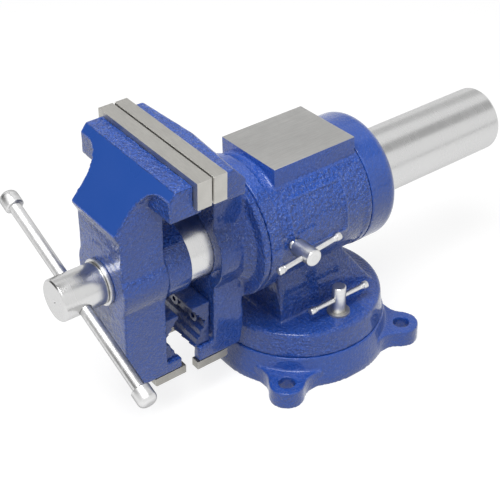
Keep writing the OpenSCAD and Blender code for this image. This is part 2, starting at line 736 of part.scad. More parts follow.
module static_side() polygon([
    [static_seat, jaw_top], [static_seat + static_top_end_l, jaw_top],
    [static_seat + static_wing_l, jaw_top - static_slope*(static_wing_l - static_top_end_l)],
    [flange_front, static_slope_end],
    [flange_front, axis_h - collar_d/2], [-static_back, axis_h - collar_d/2 - flange_t],
    [-static_back, static_bottom + cheek_w*2], [-static_back - cheek_w/3, static_bottom],
    [static_face, static_bottom], [static_face, wing_bottom], [static_seat - ledge_l, wing_bottom],
    [static_seat - ledge_l, ledge_top], [static_seat, ledge_top]]);

// One upright slice of the static jaw's head, top_l deep at its top
module static_slice(x, top_l) translate([x, 0, 0]) across(wing_slice) polygon([
    [static_seat, jaw_top], [static_seat + top_l, jaw_top],
    [static_seat + static_wing_l, jaw_top - static_slope*(static_wing_l - top_l)],
    [static_seat + static_wing_l, wing_bottom], [static_seat, wing_bottom]]);

module static_wing() {
    hull() {
        static_slice(0, static_top_l);
        for (s = [-1, 1]) static_slice(s*(wing_w - wing_slice)/2, static_top_end_l);
    }
    across(wing_w) translate([static_seat - ledge_l, wing_bottom])
        square([ledge_l + over, ledge_top - wing_bottom]);
}

module static_lips() for (x = [-1, 1]) translate([x*(neck_w - cheek_w)/2, 0, 0])
    across(cheek_w) translate([rear_face + static_lip_set, static_bottom])
        square([static_face - rear_face - static_lip_set + over, lip_top - static_bottom]);

module static_jaw() color(enamel) rolled() difference() {
    union() {
        intersection() {
            across(wing_w) static_side();
            along(static_seat - plate_t, -barrel_front) jaw_front(static_bottom);
        }
        static_wing();
        static_lips();
        rod(static_boss_d/2, static_face, flange_back);
        turned() polygon([[0, flange_front - flange_t], [static_boss_d/2, flange_front - flange_t],
            [static_boss_d/2 + flange_t, flange_front], [collar_d/2, flange_front],
            [collar_d/2, flange_back], [0, flange_back]]);
        rod(sleeve_d/2, flange_back - flange_t/2, cap_front);
    }
    rod(ram_d/2 + run_fit, static_face - over, cap_front + over);
    at_plate_screws(rear_face, 1) plate_screw_hole(plate_t);
    at_pipe_screws(rear_face, 1) pipe_screw_hole();
    at_foot_screws(static_foot_y, 1, static_bottom) foot_screw_hole();
    cheek_space(static_face - over, static_face + foot_l/2, static_bottom);
    at_cap_screws() cap_screw_hole();
    key_hole();
}

// Rear cap: closes the barrel behind and is screwed to the sleeve's end
module at_cap_screws() for (a = [45:90:315])
    translate([0, 0, axis_h]) rotate([0, a, 0])
        translate([(sleeve_d + ram_d)/4, cap_rear, 0]) rotate([90, 0, 0]) children();

cap_head_d = cap_screw_d*screw_head_share;
cap_head_t = cap_screw_d;

module cap_screw() difference() {
    union() {
        cylinder(d = cap_head_d, h = cap_head_t);
        cylinder(d = cap_screw_d, h = cap_head_t + cap_screw_l);
    }
    translate([0, 0, -over]) hex(cap_screw_d*socket_share, cap_head_t/2 + over);
}

module cap_screw_hole() {
    translate([0, 0, -over]) cylinder(r = cap_head_d/2 + run_fit, h = over + cap_head_t);
    cylinder(r = cap_screw_d/2 + screw_fit, h = cap_head_t + cap_screw_l + body_gap);
}

module rear_cap() color(enamel) rolled() difference() {
    turned() polygon(concat([[ram_d/2 + body_gap, cap_front], [cap_d/2, cap_front]],
        arc([cap_d/2 - cap_round, cap_rear - cap_round], cap_round, 0, 90, 8),
        [[ram_d/2 + body_gap, cap_rear]]));
    at_cap_screws() cap_screw_hole();
}

module rear_cap_screws() color(steel) rolled() at_cap_screws() cap_screw();

// Spindle nut inside the ram, keyed through the ram's slot to the sleeve
module at_key() translate([0, key_y, axis_h]) rotate([180, 0, 0]) children();

module key_hole() at_key() {
    cylinder(r = key_d/2 + screw_fit, h = sleeve_d/2 + over);
    translate([0, 0, key_head_top - key_head_t])
        cylinder(r = key_head_d/2 + screw_fit, h = key_head_t + over);
}

module nut_key() color(steel) rolled() at_key() {
    translate([0, 0, ram_bore - key_depth]) cylinder(d = key_d, h = key_head_top - ram_bore);
    translate([0, 0, key_head_top - key_head_t]) cylinder(d = key_head_d, h = key_head_t);
}

module spindle_nut() color(brass) rolled() difference() {
    rod(ram_bore - run_fit, key_y - nut_l/2, key_y + nut_l/2);
    rod(spindle_d/2 + run_fit, key_y - nut_l, key_y + nut_l);
    at_key() translate([0, 0, ram_bore - key_depth - body_gap])
        cylinder(r = key_d/2 + screw_fit, h = ram_bore);
}

// Static side fittings
module rear_jaw_plate() color(plate_steel) rolled() jaw_plate(rear_face, 1, plate_t);

module rear_plate_screws() color(dark_steel) rolled() at_plate_screws(rear_face, 1) plate_screw(plate_t);

module static_pipe_jaw() color(enamel) rolled() pipe_jaw(rear_face, 1);

module static_pipe_screws() color(dark_steel) rolled() at_pipe_screws(rear_face, 1) pipe_screw();

module static_foot_bars() color(plate_steel) rolled() foot_bars(static_foot_y, 1, static_bottom);

module static_foot_screws() color(dark_steel) rolled()
    at_foot_screws(static_foot_y, 1, static_bottom) foot_screw();

// Moving jaw: sloped nose, head, neck and the boss that holds the ram
foot_taper_share = 0.38;
foot_taper = moving_front*foot_taper_share;
nose_lip = 9.4;

module moving_side() polygon([
    [moving_seat, jaw_top], [moving_seat - moving_top_l, jaw_top], [nose_y, nose_z],
    [moving_front_y, nose_z - nose_lip], [moving_front_y, neck_bottom + cheek_w*4],
    [moving_front_y + foot_taper*2/3, neck_bottom + cheek_w/2], [moving_front_y + foot_taper, neck_bottom],
    [moving_face, neck_bottom], [moving_face, wing_bottom], [moving_seat + ledge_l, wing_bottom],
    [moving_seat + ledge_l, ledge_top], [moving_seat, ledge_top]]);

slope_share = nose_drop/(nose_reach - moving_top_l);

module moving_wing() across(wing_w) polygon([
    [moving_seat, jaw_top], [moving_seat - moving_top_l, jaw_top],
    [moving_seat - moving_wing_l, jaw_top - slope_share*(moving_wing_l - moving_top_l)],
    [moving_seat - moving_wing_l, wing_bottom], [moving_seat + ledge_l, wing_bottom],
    [moving_seat + ledge_l, ledge_top], [moving_seat, ledge_top]]);

module moving_lips() for (x = [-1, 1]) translate([x*(neck_w - cheek_w)/2, 0, 0])
    across(cheek_w) translate([moving_face - over, neck_bottom])
        square([front_face - lip_set - moving_face + over, lip_top - neck_bottom]);

module moving_jaw() color(enamel) rolled() difference() {
    union() {
        intersection() {
            across(wing_w) moving_side();
            along(nose_y - over, moving_seat + front_plate_t) union() {
                jaw_front(neck_bottom);
                translate([-wing_w/2, fan_top]) square([wing_w, jaw_top - fan_top]);
            }
        }
        moving_wing();
        moving_lips();
        rod(boss_d/2, boss_front, moving_face + collar_step);
        rod(boss_d/2 - collar_step, moving_face, collar_end);
    }
    rod(ram_d/2 + screw_fit, ram_front, collar_end + over);
    rod(spindle_d/2 + run_fit, boss_front - over, ram_front + over);
    at_plate_screws(front_face, -1) plate_screw_hole(front_plate_t);
    across(pipe_w + 2*body_gap) translate([front_face - pipe_depth, pipe_end])
        square([pipe_depth - front_face + moving_face, pipe_top - pipe_end + body_gap]);
    at_pipe_screws(front_face, -1) pipe_screw_hole();
    at_foot_screws(moving_foot_y, -1, neck_bottom) foot_screw_hole();
    cheek_space(moving_face - foot_l/2, moving_face + over, neck_bottom);
}

module ram_tube() color(steel) rolled() difference() {
    turned() polygon(concat([[ram_bore, ram_front], [ram_d/2, ram_front]],
        arc([ram_d/2 - ram_round, ram_end - ram_round], ram_round, 0, 90, 6), [[ram_bore, ram_end]]));
    at_key() translate([-key_d/2 - body_gap, key_y - key_slot_rear, 0])
        cube([key_d + 2*body_gap, key_slot_rear - key_slot_front, ram_d]);
}

module ram_end_cap() color(dark_steel) difference() {
    rod(ram_bore - screw_fit, ram_end - cap_plug_l, ram_end + cap_plug_rise);
    rod(stub_d/2 + run_fit, ram_end - cap_plug_l - over, ram_end + over);
}

module front_jaw_plate() color(plate_steel) rolled() jaw_plate(front_face, -1, front_plate_t);

module front_plate_screws() color(dark_steel) rolled()
    at_plate_screws(front_face, -1) plate_screw(front_plate_t);

module moving_pipe_jaw() color(enamel) rolled() pipe_jaw(front_face, -1);

module moving_pipe_screws() color(dark_steel) rolled() at_pipe_screws(front_face, -1) pipe_screw();

module moving_foot_bars() color(plate_steel) rolled() foot_bars(moving_foot_y, -1, neck_bottom);

module moving_foot_screws() color(dark_steel) rolled()
    at_foot_screws(moving_foot_y, -1, neck_bottom) foot_screw();

// Spindle: head, screw and rear journal, with what holds it to the moving jaw
module handle_hole() translate([0, handle_y, axis_h]) rotate([0, handle_a, 0]) rotate([0, 90, 0])
    cylinder(r = handle_d/2 + run_fit, h = spindle_head_d + 2*over, center = true);

retainer_front = ram_front + body_gap;

module at_retainer_pin() translate([0, retainer_front + retainer_t/2, axis_h]) children();

module spindle() color(steel) difference() {
    turned() polygon([
        [0, spindle_face], [spindle_head_d/2 - head_chamfer, spindle_face],
        [spindle_head_d/2, spindle_face + head_chamfer], [spindle_head_d/2, spindle_shoulder],
        [spindle_d/2, spindle_shoulder], [spindle_d/2, ram_end - cap_plug_l - body_gap],
        [stub_d/2, ram_end - cap_plug_l - body_gap], [stub_d/2, ram_end + stub_l], [0, ram_end + stub_l]]);
    handle_hole();
    at_retainer_pin() cylinder(r = retainer_pin_d/2 + screw_fit, h = spindle_head_d, center = true);
}

module thrust_washer() color(steel) difference() {
    rod(thrust_d/2, boss_front - thrust_t, boss_front);
    rod(spindle_d/2 + run_fit, boss_front - thrust_t - over, boss_front + over);
}

module spindle_retainer() color(steel) difference() {
    rod(retainer_d/2, retainer_front, retainer_front + retainer_t);
    rod(spindle_d/2 + screw_fit, retainer_front - over, retainer_front + retainer_t + over);
    at_retainer_pin() cylinder(r = retainer_pin_d/2 + screw_fit, h = retainer_d + over, center = true);
}

module retainer_pin() color(dark_steel) at_retainer_pin()
    cylinder(d = retainer_pin_d, h = retainer_d, center = true);

// Handle: a sliding bar with a knob on each end
module at_handle() translate([0, handle_y, axis_h])
    rotate([0, handle_a, 0]) translate([handle_shift, 0, 0]) children();

module handle_bar() color(steel) at_handle() rotate([0, 90, 0])
    cylinder(d = handle_d, h = handle_l - knob_l, center = true);

module handle_knobs() color(steel) at_handle() for (s = [-1, 1]) scale([s, 1, 1])
    translate([(handle_l - knob_l)/2, 0, 0]) rotate([0, 90, 0]) rotate_extrude() polygon(concat(
        [[0, 0], [handle_d/2 + head_chamfer, 0], [knob_d/2, knob_round]],
        arc([knob_d/2 - knob_round, knob_l - knob_round], knob_round, 0, 90, 6), [[0, knob_l]]));

base_plate();
pivot_bolt();
pivot_washer();
pivot_nut();
swivel_clamp_nut();
body_casting();
swivel_lock_washer();
swivel_lock_screw();
swivel_lock_bar();
swivel_lock_bar_caps();
head_lock_plug();
head_lock_screw();
head_lock_bar();
head_lock_bar_caps();
static_jaw();
rear_cap();
rear_cap_screws();
nut_key();
spindle_nut();
rear_jaw_plate();
rear_plate_screws();
static_pipe_jaw();
static_pipe_screws();
static_foot_bars();
static_foot_screws();
moving_jaw();
ram_tube();
ram_end_cap();
front_jaw_plate();
front_plate_screws();
moving_pipe_jaw();
moving_pipe_screws();
moving_foot_bars();
moving_foot_screws();
spindle();
thrust_washer();
spindle_retainer();
retainer_pin();
handle_bar();
handle_knobs();
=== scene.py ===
"""Dresses the swivel bench vise: enamelled castings, turned steel, soft light and the camera."""

import logging
import math
from collections.abc import Callable, Sequence
from dataclasses import dataclass
from enum import Enum
from typing import Any

import bmesh
import bpy
import numpy as np
from bmesh.types import BMesh
from bpy.types import Material, Mesh, Node, NodeOutputs, NodeSocket, NodeTree, Object
from mathutils import Matrix, Vector, noise


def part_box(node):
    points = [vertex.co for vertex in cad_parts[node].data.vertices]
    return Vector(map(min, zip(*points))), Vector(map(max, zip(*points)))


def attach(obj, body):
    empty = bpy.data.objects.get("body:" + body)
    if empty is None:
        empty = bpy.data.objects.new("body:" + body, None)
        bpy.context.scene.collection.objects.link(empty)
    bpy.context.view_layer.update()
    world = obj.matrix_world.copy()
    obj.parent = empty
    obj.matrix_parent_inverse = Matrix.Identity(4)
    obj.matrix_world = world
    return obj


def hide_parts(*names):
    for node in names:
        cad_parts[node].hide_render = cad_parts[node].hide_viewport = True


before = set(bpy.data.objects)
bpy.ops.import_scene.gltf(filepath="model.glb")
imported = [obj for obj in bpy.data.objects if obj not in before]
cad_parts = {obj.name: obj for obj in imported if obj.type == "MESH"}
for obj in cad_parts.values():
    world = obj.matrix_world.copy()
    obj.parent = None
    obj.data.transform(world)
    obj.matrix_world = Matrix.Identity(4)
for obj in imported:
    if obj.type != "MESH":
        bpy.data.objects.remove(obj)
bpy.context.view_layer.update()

LOG = logging.getLogger("vise")
MM = 0.001
WHITE = (1.0, 1.0, 1.0, 1.0)
SHARP_CORNER = math.radians(34)

Pair = tuple[float, float]
Triple = tuple[float, float, float]
Mask = Callable[[np.ndarray, np.ndarray], np.ndarray]
Value = NodeSocket | float
Tone = NodeSocket | Triple


class Body(Enum):
    """The rigid bodies that pieces ride on."""

    BASE = "base"
    VISE = "vise_body"
    HEAD = "head"
    FRONT_JAW = "front_jaw"
    SCREW = "screw"
    HANDLE = "handle"
    HEAD_LOCK = "head_lock"
    HEAD_LOCK_BAR = "head_lock_tbar"
    SWIVEL_LOCK = "swivel_lock"
    SWIVEL_LOCK_BAR = "swivel_lock_tbar"


class Slot(Enum):
    """The record's material slots that the new pieces are labelled with."""

    ENAMEL = "blue_enamel"
    BRIGHT = "bright_steel"
    DARK = "dark_steel"


class Mark(Enum):
    """Vertex attributes that the materials read."""

    CALM = "calm"
    ALONG = "turn_along"
    RADIUS = "turn_radius"


class Axis(Enum):
    """The directions that turned pieces are made along."""

    RIGHT = (1.0, 0.0, 0.0)
    BACK = (0.0, 1.0, 0.0)
    UP = (0.0, 0.0, 1.0)

    @property
    def vector(self) -> Vector:
        """The direction as a unit vector."""
        return Vector(self.value)


class NodeGraph:
    """A short way to place and join shader nodes in one tree."""

    def __init__(self, tree: NodeTree) -> None:
        """Keeps the tree that is written to."""
        self.tree = tree

    def feed(self, node: Node, inputs: dict[Any, Any]) -> None:
        """Sets or joins a node's inputs.

        Args:
            node: the node.
            inputs: input name or number to a value, or to a socket that is joined to it.
        """
        for key, value in inputs.items():
            if isinstance(value, NodeSocket):
                self.tree.links.new(value, node.inputs[key])
            else:
                node.inputs[key].default_value = value

    def add(self, kind: str, inputs: dict[Any, Any] | None = None, **settings: Any) -> Node:
        """Places one node.

        Args:
            kind: the node's type name, without its Shader prefix where it has one.
            inputs: input name or number to a value or a socket.
            **settings: properties set on the node itself.

        Returns:
            The new node.
        """
        node = self.tree.nodes.new(kind if kind.startswith("NodeGroup") else "ShaderNode" + kind)
        for key, value in settings.items():
            setattr(node, key, value)
        self.feed(node, inputs or {})
        return node

    def group(self, tree: NodeTree, **inputs: Value) -> NodeOutputs:
        """The outputs of a node group placed with its own values."""
        return self.add("Group", inputs, node_tree=tree).outputs

    def math(self, operation: str, first: Value, second: Value) -> NodeSocket:
        """The result of one Math node."""
        return self.add("Math", {0: first, 1: second}, operation=operation).outputs[0]

    def times(self, first: Value, second: Value) -> NodeSocket:
        """The product of two values."""
        return self.math("MULTIPLY", first, second)

    def ramp(
        self, value: Value, low: float, high: float, to_low: float = 0.0, to_high: float = 1.0
    ) -> NodeSocket:
        """A smooth step of a value from one range to another.

        Args:
            value: the socket that is read.
            low: where the step starts.
            high: where the step ends.
            to_low: the result before the step.
            to_high: the result after the step.

        Returns:
            The result's socket.
        """
        limits = {"Value": value, "From Min": low, "From Max": high, "To Min": to_low, "To Max": to_high}
        return self.add("MapRange", limits, interpolation_type="SMOOTHSTEP").outputs["Result"]

    def mix(self, factor: Value, first: Tone, second: Tone) -> NodeSocket:
        """A mix of two colours.

        Args:
            factor: 0 for the first colour, 1 for the second.
            first: the first colour, as three numbers or a socket.
            second: the second colour.

        Returns:
            The result's socket.
        """
        pair = [(*tone, 1.0) if isinstance(tone, tuple) else tone for tone in (first, second)]
        return self.add("Mix", {0: factor, 6: pair[0], 7: pair[1]}, data_type="RGBA").outputs[2]

    def noise(
        self, place: NodeSocket, scale: Value, detail: float = 2.0, roughness: float = 0.5
    ) -> NodeSocket:
        """A noise between 0 and 1.

        Args:
            place: the coordinates' socket.
            scale: how many grains a unit of them holds.
            detail: how many finer layers are added.
            roughness: how strong the finer layers are.

        Returns:
            The noise's socket.
        """
        inputs = {"Vector": place, "Scale": scale, "Detail": detail, "Roughness": roughness}
        return self.add("TexNoise", inputs).outputs["Fac"]

    def mark(self, which: Mark) -> NodeSocket:
        """The value of a vertex attribute."""
        return self.add("Attribute", attribute_name=which.value).outputs["Fac"]

    def place(self) -> NodeSocket:
        """The object's own coordinates."""
        return self.add("TexCoord").outputs["Object"]

    def rounded(self, radius: Value) -> NodeSocket:
        """The normal of corners rounded to a radius."""
        return self.add("Bevel", {"Radius": radius}, samples=4).outputs["Normal"]


class EffectGroups:
    """Shader node groups shared by the finishes, each built once."""

    grit_scale = 2.3
    crumb_scale = 1.7
    cloud_scale = 32.0
    streak_scale = 0.06

    def __init__(self) -> None:
        """Builds every group."""
        self.edges = self._edges()
        self.cast_skin = self._cast_skin()
        self.tool_lines = self._tool_lines()

    @staticmethod
    def _start(
        name: str, inputs: Sequence[str], outputs: Sequence[str]
    ) -> tuple[NodeGraph, NodeOutputs, Node]:
        """Starts a group with plain number sockets.

        Args:
            name: the group's name.
            inputs: the names of its inputs.
            outputs: the names of its outputs.

        Returns:
            The graph, the sockets that it is given and its output node.
        """
        tree = bpy.data.node_groups.new(name, "ShaderNodeTree")
        for texts, way in ((inputs, "INPUT"), (outputs, "OUTPUT")):
            for text in texts:
                tree.interface.new_socket(text, in_out=way, socket_type="NodeSocketFloat")
        graph = NodeGraph(tree)
        return graph, graph.add("NodeGroupInput").outputs, graph.add("NodeGroupOutput")

    def _edges(self) -> NodeTree:
        """A mask that is 1 on corners: where the rounded normal leaves the true one.

        Returns:
            The group's tree.
        """
        graph, given, result = self._start("edge_mask", ["Reach"], ["Mask"])
        normals = {0: graph.rounded(given["Reach"]), 1: graph.add("NewGeometry").outputs["Normal"]}
        agreement = graph.add("VectorMath", normals, operation="DOT_PRODUCT").outputs["Value"]
        mask = graph.ramp(graph.math("SUBTRACT", 1.0, agreement), 0.01, 0.16)
        graph.feed(result, {"Mask": mask})
        return graph.tree

    def _cast_skin(self) -> NodeTree:
        """The pebbled skin of a sand casting under paint, and a mask where glints are painted on its
        pebbles.

        Returns:
            The group's tree.
        """
        graph, given, result = self._start(
            "cast_skin", ["Grain", "Fine", "Calm"], ["Height", "Blotch", "PaintedGlint"]
        )
        place = graph.place()
        pebble = graph.noise(place, given["Grain"], 1.5, 0.45)
        grit = graph.noise(place, graph.times(given["Grain"], self.grit_scale))
        crumbs = graph.noise(place, graph.times(given["Grain"], self.crumb_scale))
        broad = graph.noise(place, self.cloud_scale)
        rough = graph.math("SUBTRACT", 1.0, given["Calm"])
        patchy = graph.ramp(broad, 0.30, 0.70, 0.55, 1.0)
        lumps = graph.ramp(pebble, 0.28, 0.72)
        grains = graph.times(graph.ramp(grit, 0.35, 0.65), given["Fine"])
        height = graph.times(graph.math("ADD", lumps, grains), graph.times(rough, patchy))
        # Painted highlight: a mask of bright specks on the pebbles, standing in for glints of the lamps.
        painted_glint = graph.times(graph.times(graph.ramp(crumbs, 0.56, 0.68), rough), patchy)
        graph.feed(result, {"Height": height, "Blotch": broad, "PaintedGlint": painted_glint})
        return graph.tree

    def _tool_lines(self) -> NodeTree:
        """Fine lines that a lathe tool leaves round a piece and in rings on its ends.

        Returns:
            The group's tree.
        """
        graph, given, result = self._start(
            "tool_lines", ["Along", "Radius", "Density"], ["Height", "Streak"]
        )
        run = graph.times(given["Along"], given["Density"])
        ring = graph.times(given["Radius"], given["Density"])
        place = graph.add("CombineXYZ", {"X": run, "Y": ring, "Z": 0.0}).outputs["Vector"]
        lines, streaks = graph.noise(place, 1.0, 3.0, 0.7), graph.noise(place, self.streak_scale)
        graph.feed(result, {"Height": lines, "Streak": streaks})
        return graph.tree


class Surface(NodeGraph):
    """The nodes of a new material."""

    def __init__(self, name: str) -> None:
        """Makes the material.

        Args:
            name: its name.
        """
        self.made = bpy.data.materials.new(name)
        self.made.use_nodes = True
        super().__init__(self.made.node_tree)
        self.shader = self.tree.nodes["Principled BSDF"]

    def lit_by(self, shader: Node) -> Material:
        """The material of a thing of the studio, which has a shader of its own.

        Args:
            shader: the node that takes the usual shader's place.

        Returns:
            The material.
        """
        self.tree.nodes.remove(self.shader)
        self.feed(self.tree.nodes["Material Output"], {"Surface": shader.outputs[0]})
        return self.made


@dataclass(frozen=True)
class Layers:
    """The sockets and numbers that a finish works out for its shader."""

    colour: NodeSocket
    gloss: NodeSocket
    height: NodeSocket
    constants: dict[str, float | tuple[float, ...]]


@dataclass(frozen=True)
class Finish:
    """A paint or a metal, lighter on its corners with wear and a painted highlight, with a fine relief over
    rounded ones.
    """

    name: str
    colour: Triple
    wear_and_highlight: Triple
    wear_and_highlight_share: float
    wear_and_highlight_reach: float
    relief: float
    strength: float
    rounding: float

    def material(self, groups: EffectGroups) -> Material:
        """Builds the material.

        Args:
            groups: the shared effects.

        Returns:
            The material.
        """
        surface = Surface(self.name)
        layers = self.layers(surface, groups)
        # Corners are mixed toward a lighter colour: part wear, part painted highlight.
        corners = surface.times(surface.group(groups.edges, Reach=self.wear_and_highlight_reach)["Mask"], self.wear_and_highlight_share)
        relief = {
            "Strength": self.strength, "Distance": self.relief, "Height": layers.height,
            "Normal": surface.rounded(self.rounding),
        }
        sockets = {
            "Base Color": surface.mix(corners, layers.colour, self.wear_and_highlight), "Roughness": layers.gloss,
            "Normal": surface.add("Bump", relief).outputs["Normal"],
        }
        surface.feed(surface.shader, sockets | layers.constants)
        return surface.made

    def layers(self, surface: Surface, groups: EffectGroups) -> Layers:
        """Every finish has its own layers."""
        raise NotImplementedError


@dataclass(frozen=True)
class Enamel(Finish):
    """Glossy blue enamel over a rough casting."""

    colour: Triple = (0.015, 0.078, 0.400)
    fuller: float = 1.18
    machined: Triple = (0.018, 0.074, 0.338)
    # Lighter blue on the corners: part worn paint, part painted highlight.
    wear_and_highlight: Triple = (0.110, 0.210, 0.600)
    wear_and_highlight_share: float = 0.55
    wear_and_highlight_reach: float = 0.9 * MM
    # Painted shade: the dark blue that darkens the hollows between the pebbles.
    pit: Triple = (0.003, 0.016, 0.110)
    pit_shade_share: float = 0.42
    # Painted highlight: the whitish blue of the glints, painted into the base colour.
    painted_glint: Triple = (0.46, 0.56, 0.86)
    painted_glint_share: float = 0.28
    grain: float = 360.0
    fine: float = 0.45
    relief: float = 1.5 * MM
    strength: float = 1.0
    rounding: float = 0.5 * MM
    roughness: Pair = (0.25, 0.38)
    specular: float = 0.3
    coat: float = 0.7
    coat_roughness: float = 0.08

    def layers(self, surface: Surface, groups: EffectGroups) -> Layers:
        """Smooth paint where the casting is calm; elsewhere painted shade darkens the pits and painted
        glints lighten the pebbles.

        Args:
            surface: the material's nodes.
            groups: the shared effects.

        Returns:
            The paint's layers.
        """
        calm = surface.mark(Mark.CALM)
        skin = surface.group(groups.cast_skin, Grain=self.grain, Fine=self.fine, Calm=calm)
        fuller = tuple(self.fuller * part for part in self.colour)
        cast = surface.mix(surface.ramp(skin["Blotch"], 0.3, 0.7), self.colour, fuller)
        tone = surface.mix(surface.ramp(calm, 0.5, 1.0), cast, self.machined)
        # Painted shade: the skin's low places are darkened toward the pit colour, except on calm faces.
        shaded_low_places = surface.ramp(skin["Height"], 0.05, 0.75, self.pit_shade_share, 0.0)
        pit_shaded = surface.mix(surface.times(shaded_low_places, surface.math("SUBTRACT", 1.0, calm)), tone, self.pit)
        # Painted glints: bright specks mixed into the base colour.
        lit = surface.mix(surface.times(skin["PaintedGlint"], self.painted_glint_share), pit_shaded, self.painted_glint)
        gloss = surface.ramp(skin["Blotch"], 0.25, 0.75, *self.roughness)
        coat = {"Coat Weight": self.coat, "Coat Roughness": self.coat_roughness}
        return Layers(lit, gloss, skin["Height"], {"Specular IOR Level": self.specular, **coat})


@dataclass(frozen=True)
class TurnedSteel(Finish):
    """Bright steel with the fine rings of a lathe."""

    colour: Triple = (0.67, 0.67, 0.668)
    dull: Triple = (0.64, 0.64, 0.638)
    wear_and_highlight: Triple = (0.80, 0.80, 0.80)
    wear_and_highlight_share: float = 0.5
    wear_and_highlight_reach: float = 0.6 * MM
    rim: float = 0.85
    roughness: Pair = (0.234, 0.29)
    smudge: float = 45.0
    density: float = 1900.0
    relief: float = 0.0012 * MM
    strength: float = 0.6
    rounding: float = 0.35 * MM

    def layers(self, surface: Surface, groups: EffectGroups) -> Layers:
        """Rings of the lathe tool, and smudges of handling.

        Args:
            surface: the material's nodes.
            groups: the shared effects.

        Returns:
            The steel's layers.
        """
        along, radius = surface.mark(Mark.ALONG), surface.mark(Mark.RADIUS)
        lines = surface.group(groups.tool_lines, Along=along, Radius=radius, Density=self.density)
        tone = surface.mix(surface.ramp(lines["Height"], 0.25, 0.75), self.dull, self.colour)
        worked = surface.times(lines["Streak"], surface.noise(surface.place(), self.smudge))
        gloss = surface.ramp(worked, 0.1, 0.4, *self.roughness)
        tint = (self.rim, self.rim, self.rim, 1.0)
        return Layers(tone, gloss, lines["Height"], {"Metallic": 1.0, "Specular Tint": tint})


@dataclass(frozen=True)
class GroundSteel(Finish):
    """Flat ground metal with straight grinding lines."""

    colour: Triple = (0.60, 0.588, 0.555)
    dull: Triple = (0.43, 0.422, 0.398)
    wear_and_highlight: Triple = (0.74, 0.73, 0.70)
    wear_and_highlight_share: float = 0.7
    wear_and_highlight_reach: float = 0.5 * MM
    roughness: float = 0.42
    stretch: Triple = (60.0, 2600.0, 2600.0)
    cloud: float = 70.0
    relief: float = 0.03 * MM
    strength: float = 0.7
    rounding: float = 0.25 * MM

    def layers(self, surface: Surface, groups: EffectGroups) -> Layers:
        """Straight grinding lines under duller clouds.

        Args:
            surface: the material's nodes.
            groups: the shared effects.

        Returns:
            The metal's layers.
        """
        place = surface.place()
        along = surface.add("Mapping", {"Vector": place, "Scale": self.stretch}).outputs["Vector"]
        lines = surface.noise(along, 1.0, 4.0, 0.65)
        cloud = surface.noise(place, self.cloud, 3.0)
        tone = surface.mix(surface.ramp(lines, 0.2, 0.8), self.dull, self.colour)
        cloudy = surface.mix(surface.ramp(cloud, 0.35, 0.75, 0.0, 0.35), tone, self.dull)
        gloss = surface.ramp(cloud, 0.3, 0.7, self.roughness - 0.06, self.roughness + 0.08)
        return Layers(cloudy, gloss, lines, {"Metallic": 1.0})


class Finishes:
    """Every material of the vise, made once."""

    def __init__(self, groups: EffectGroups) -> None:
        """Builds the materials.

        Args:
            groups: the shared effects.
        """
        self.enamel = Enamel("blue_enamel_cast").material(groups)
        # Painted shade: the pipe jaws and their screws get a darker blue than the castings, for the shade
        # between the jaws.
        self.shaded = Enamel(
            "blue_enamel_inserts", colour=(0.010, 0.045, 0.230), wear_and_highlight=(0.030, 0.080, 0.300),
            painted_glint=(0.05, 0.10, 0.30), relief=0.6 * MM,
        ).material(groups)
        self.turned = TurnedSteel("turned_steel").material(groups)
        self.plated = TurnedSteel(
            "plated_steel", colour=(0.80, 0.80, 0.80), dull=(0.66, 0.66, 0.66), rim=0.25,
            roughness=(0.288, 0.40), relief=0.003 * MM,
        ).material(groups)
        self.ground = GroundSteel("ground_steel").material(groups)
        self.anvil = GroundSteel(
            "anvil_face", colour=(0.57, 0.565, 0.55), dull=(0.40, 0.398, 0.39),
            stretch=(2600.0, 60.0, 2600.0),
        ).material(groups)
        self.feet = GroundSteel(
            "foot_bar_steel", colour=(0.42, 0.41, 0.38), dull=(0.27, 0.262, 0.24)
        ).material(groups)
        self.oiled = GroundSteel(
            "oiled_steel", colour=(0.10, 0.10, 0.105), dull=(0.045, 0.045, 0.05), roughness=0.36
        ).material(groups)
        self.brass = GroundSteel(
            "machined_brass", colour=(0.62, 0.44, 0.17), dull=(0.46, 0.31, 0.11), roughness=0.30
        ).material(groups)


@dataclass(frozen=True)
class Piece:
    """What a piece is called, what it rides on and what it stands for."""

    name: str
    body: Body
    slot: Slot
    nodes: tuple[str, ...] = ()

    def settle(self, obj: Object, *materials: Material) -> None:
        """Gives an object its materials and its place in the frame.

        Args:
            obj: the finished object, with its place in its mesh.
            *materials: its materials in slot order.
        """
        for made in materials:
            obj.data.materials.append(made)
        if self.nodes:
            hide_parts(*self.nodes)
        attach(obj, self.body.value)
        LOG.info("%s: %d faces on %s", self.name, len(obj.data.polygons), self.body.value)


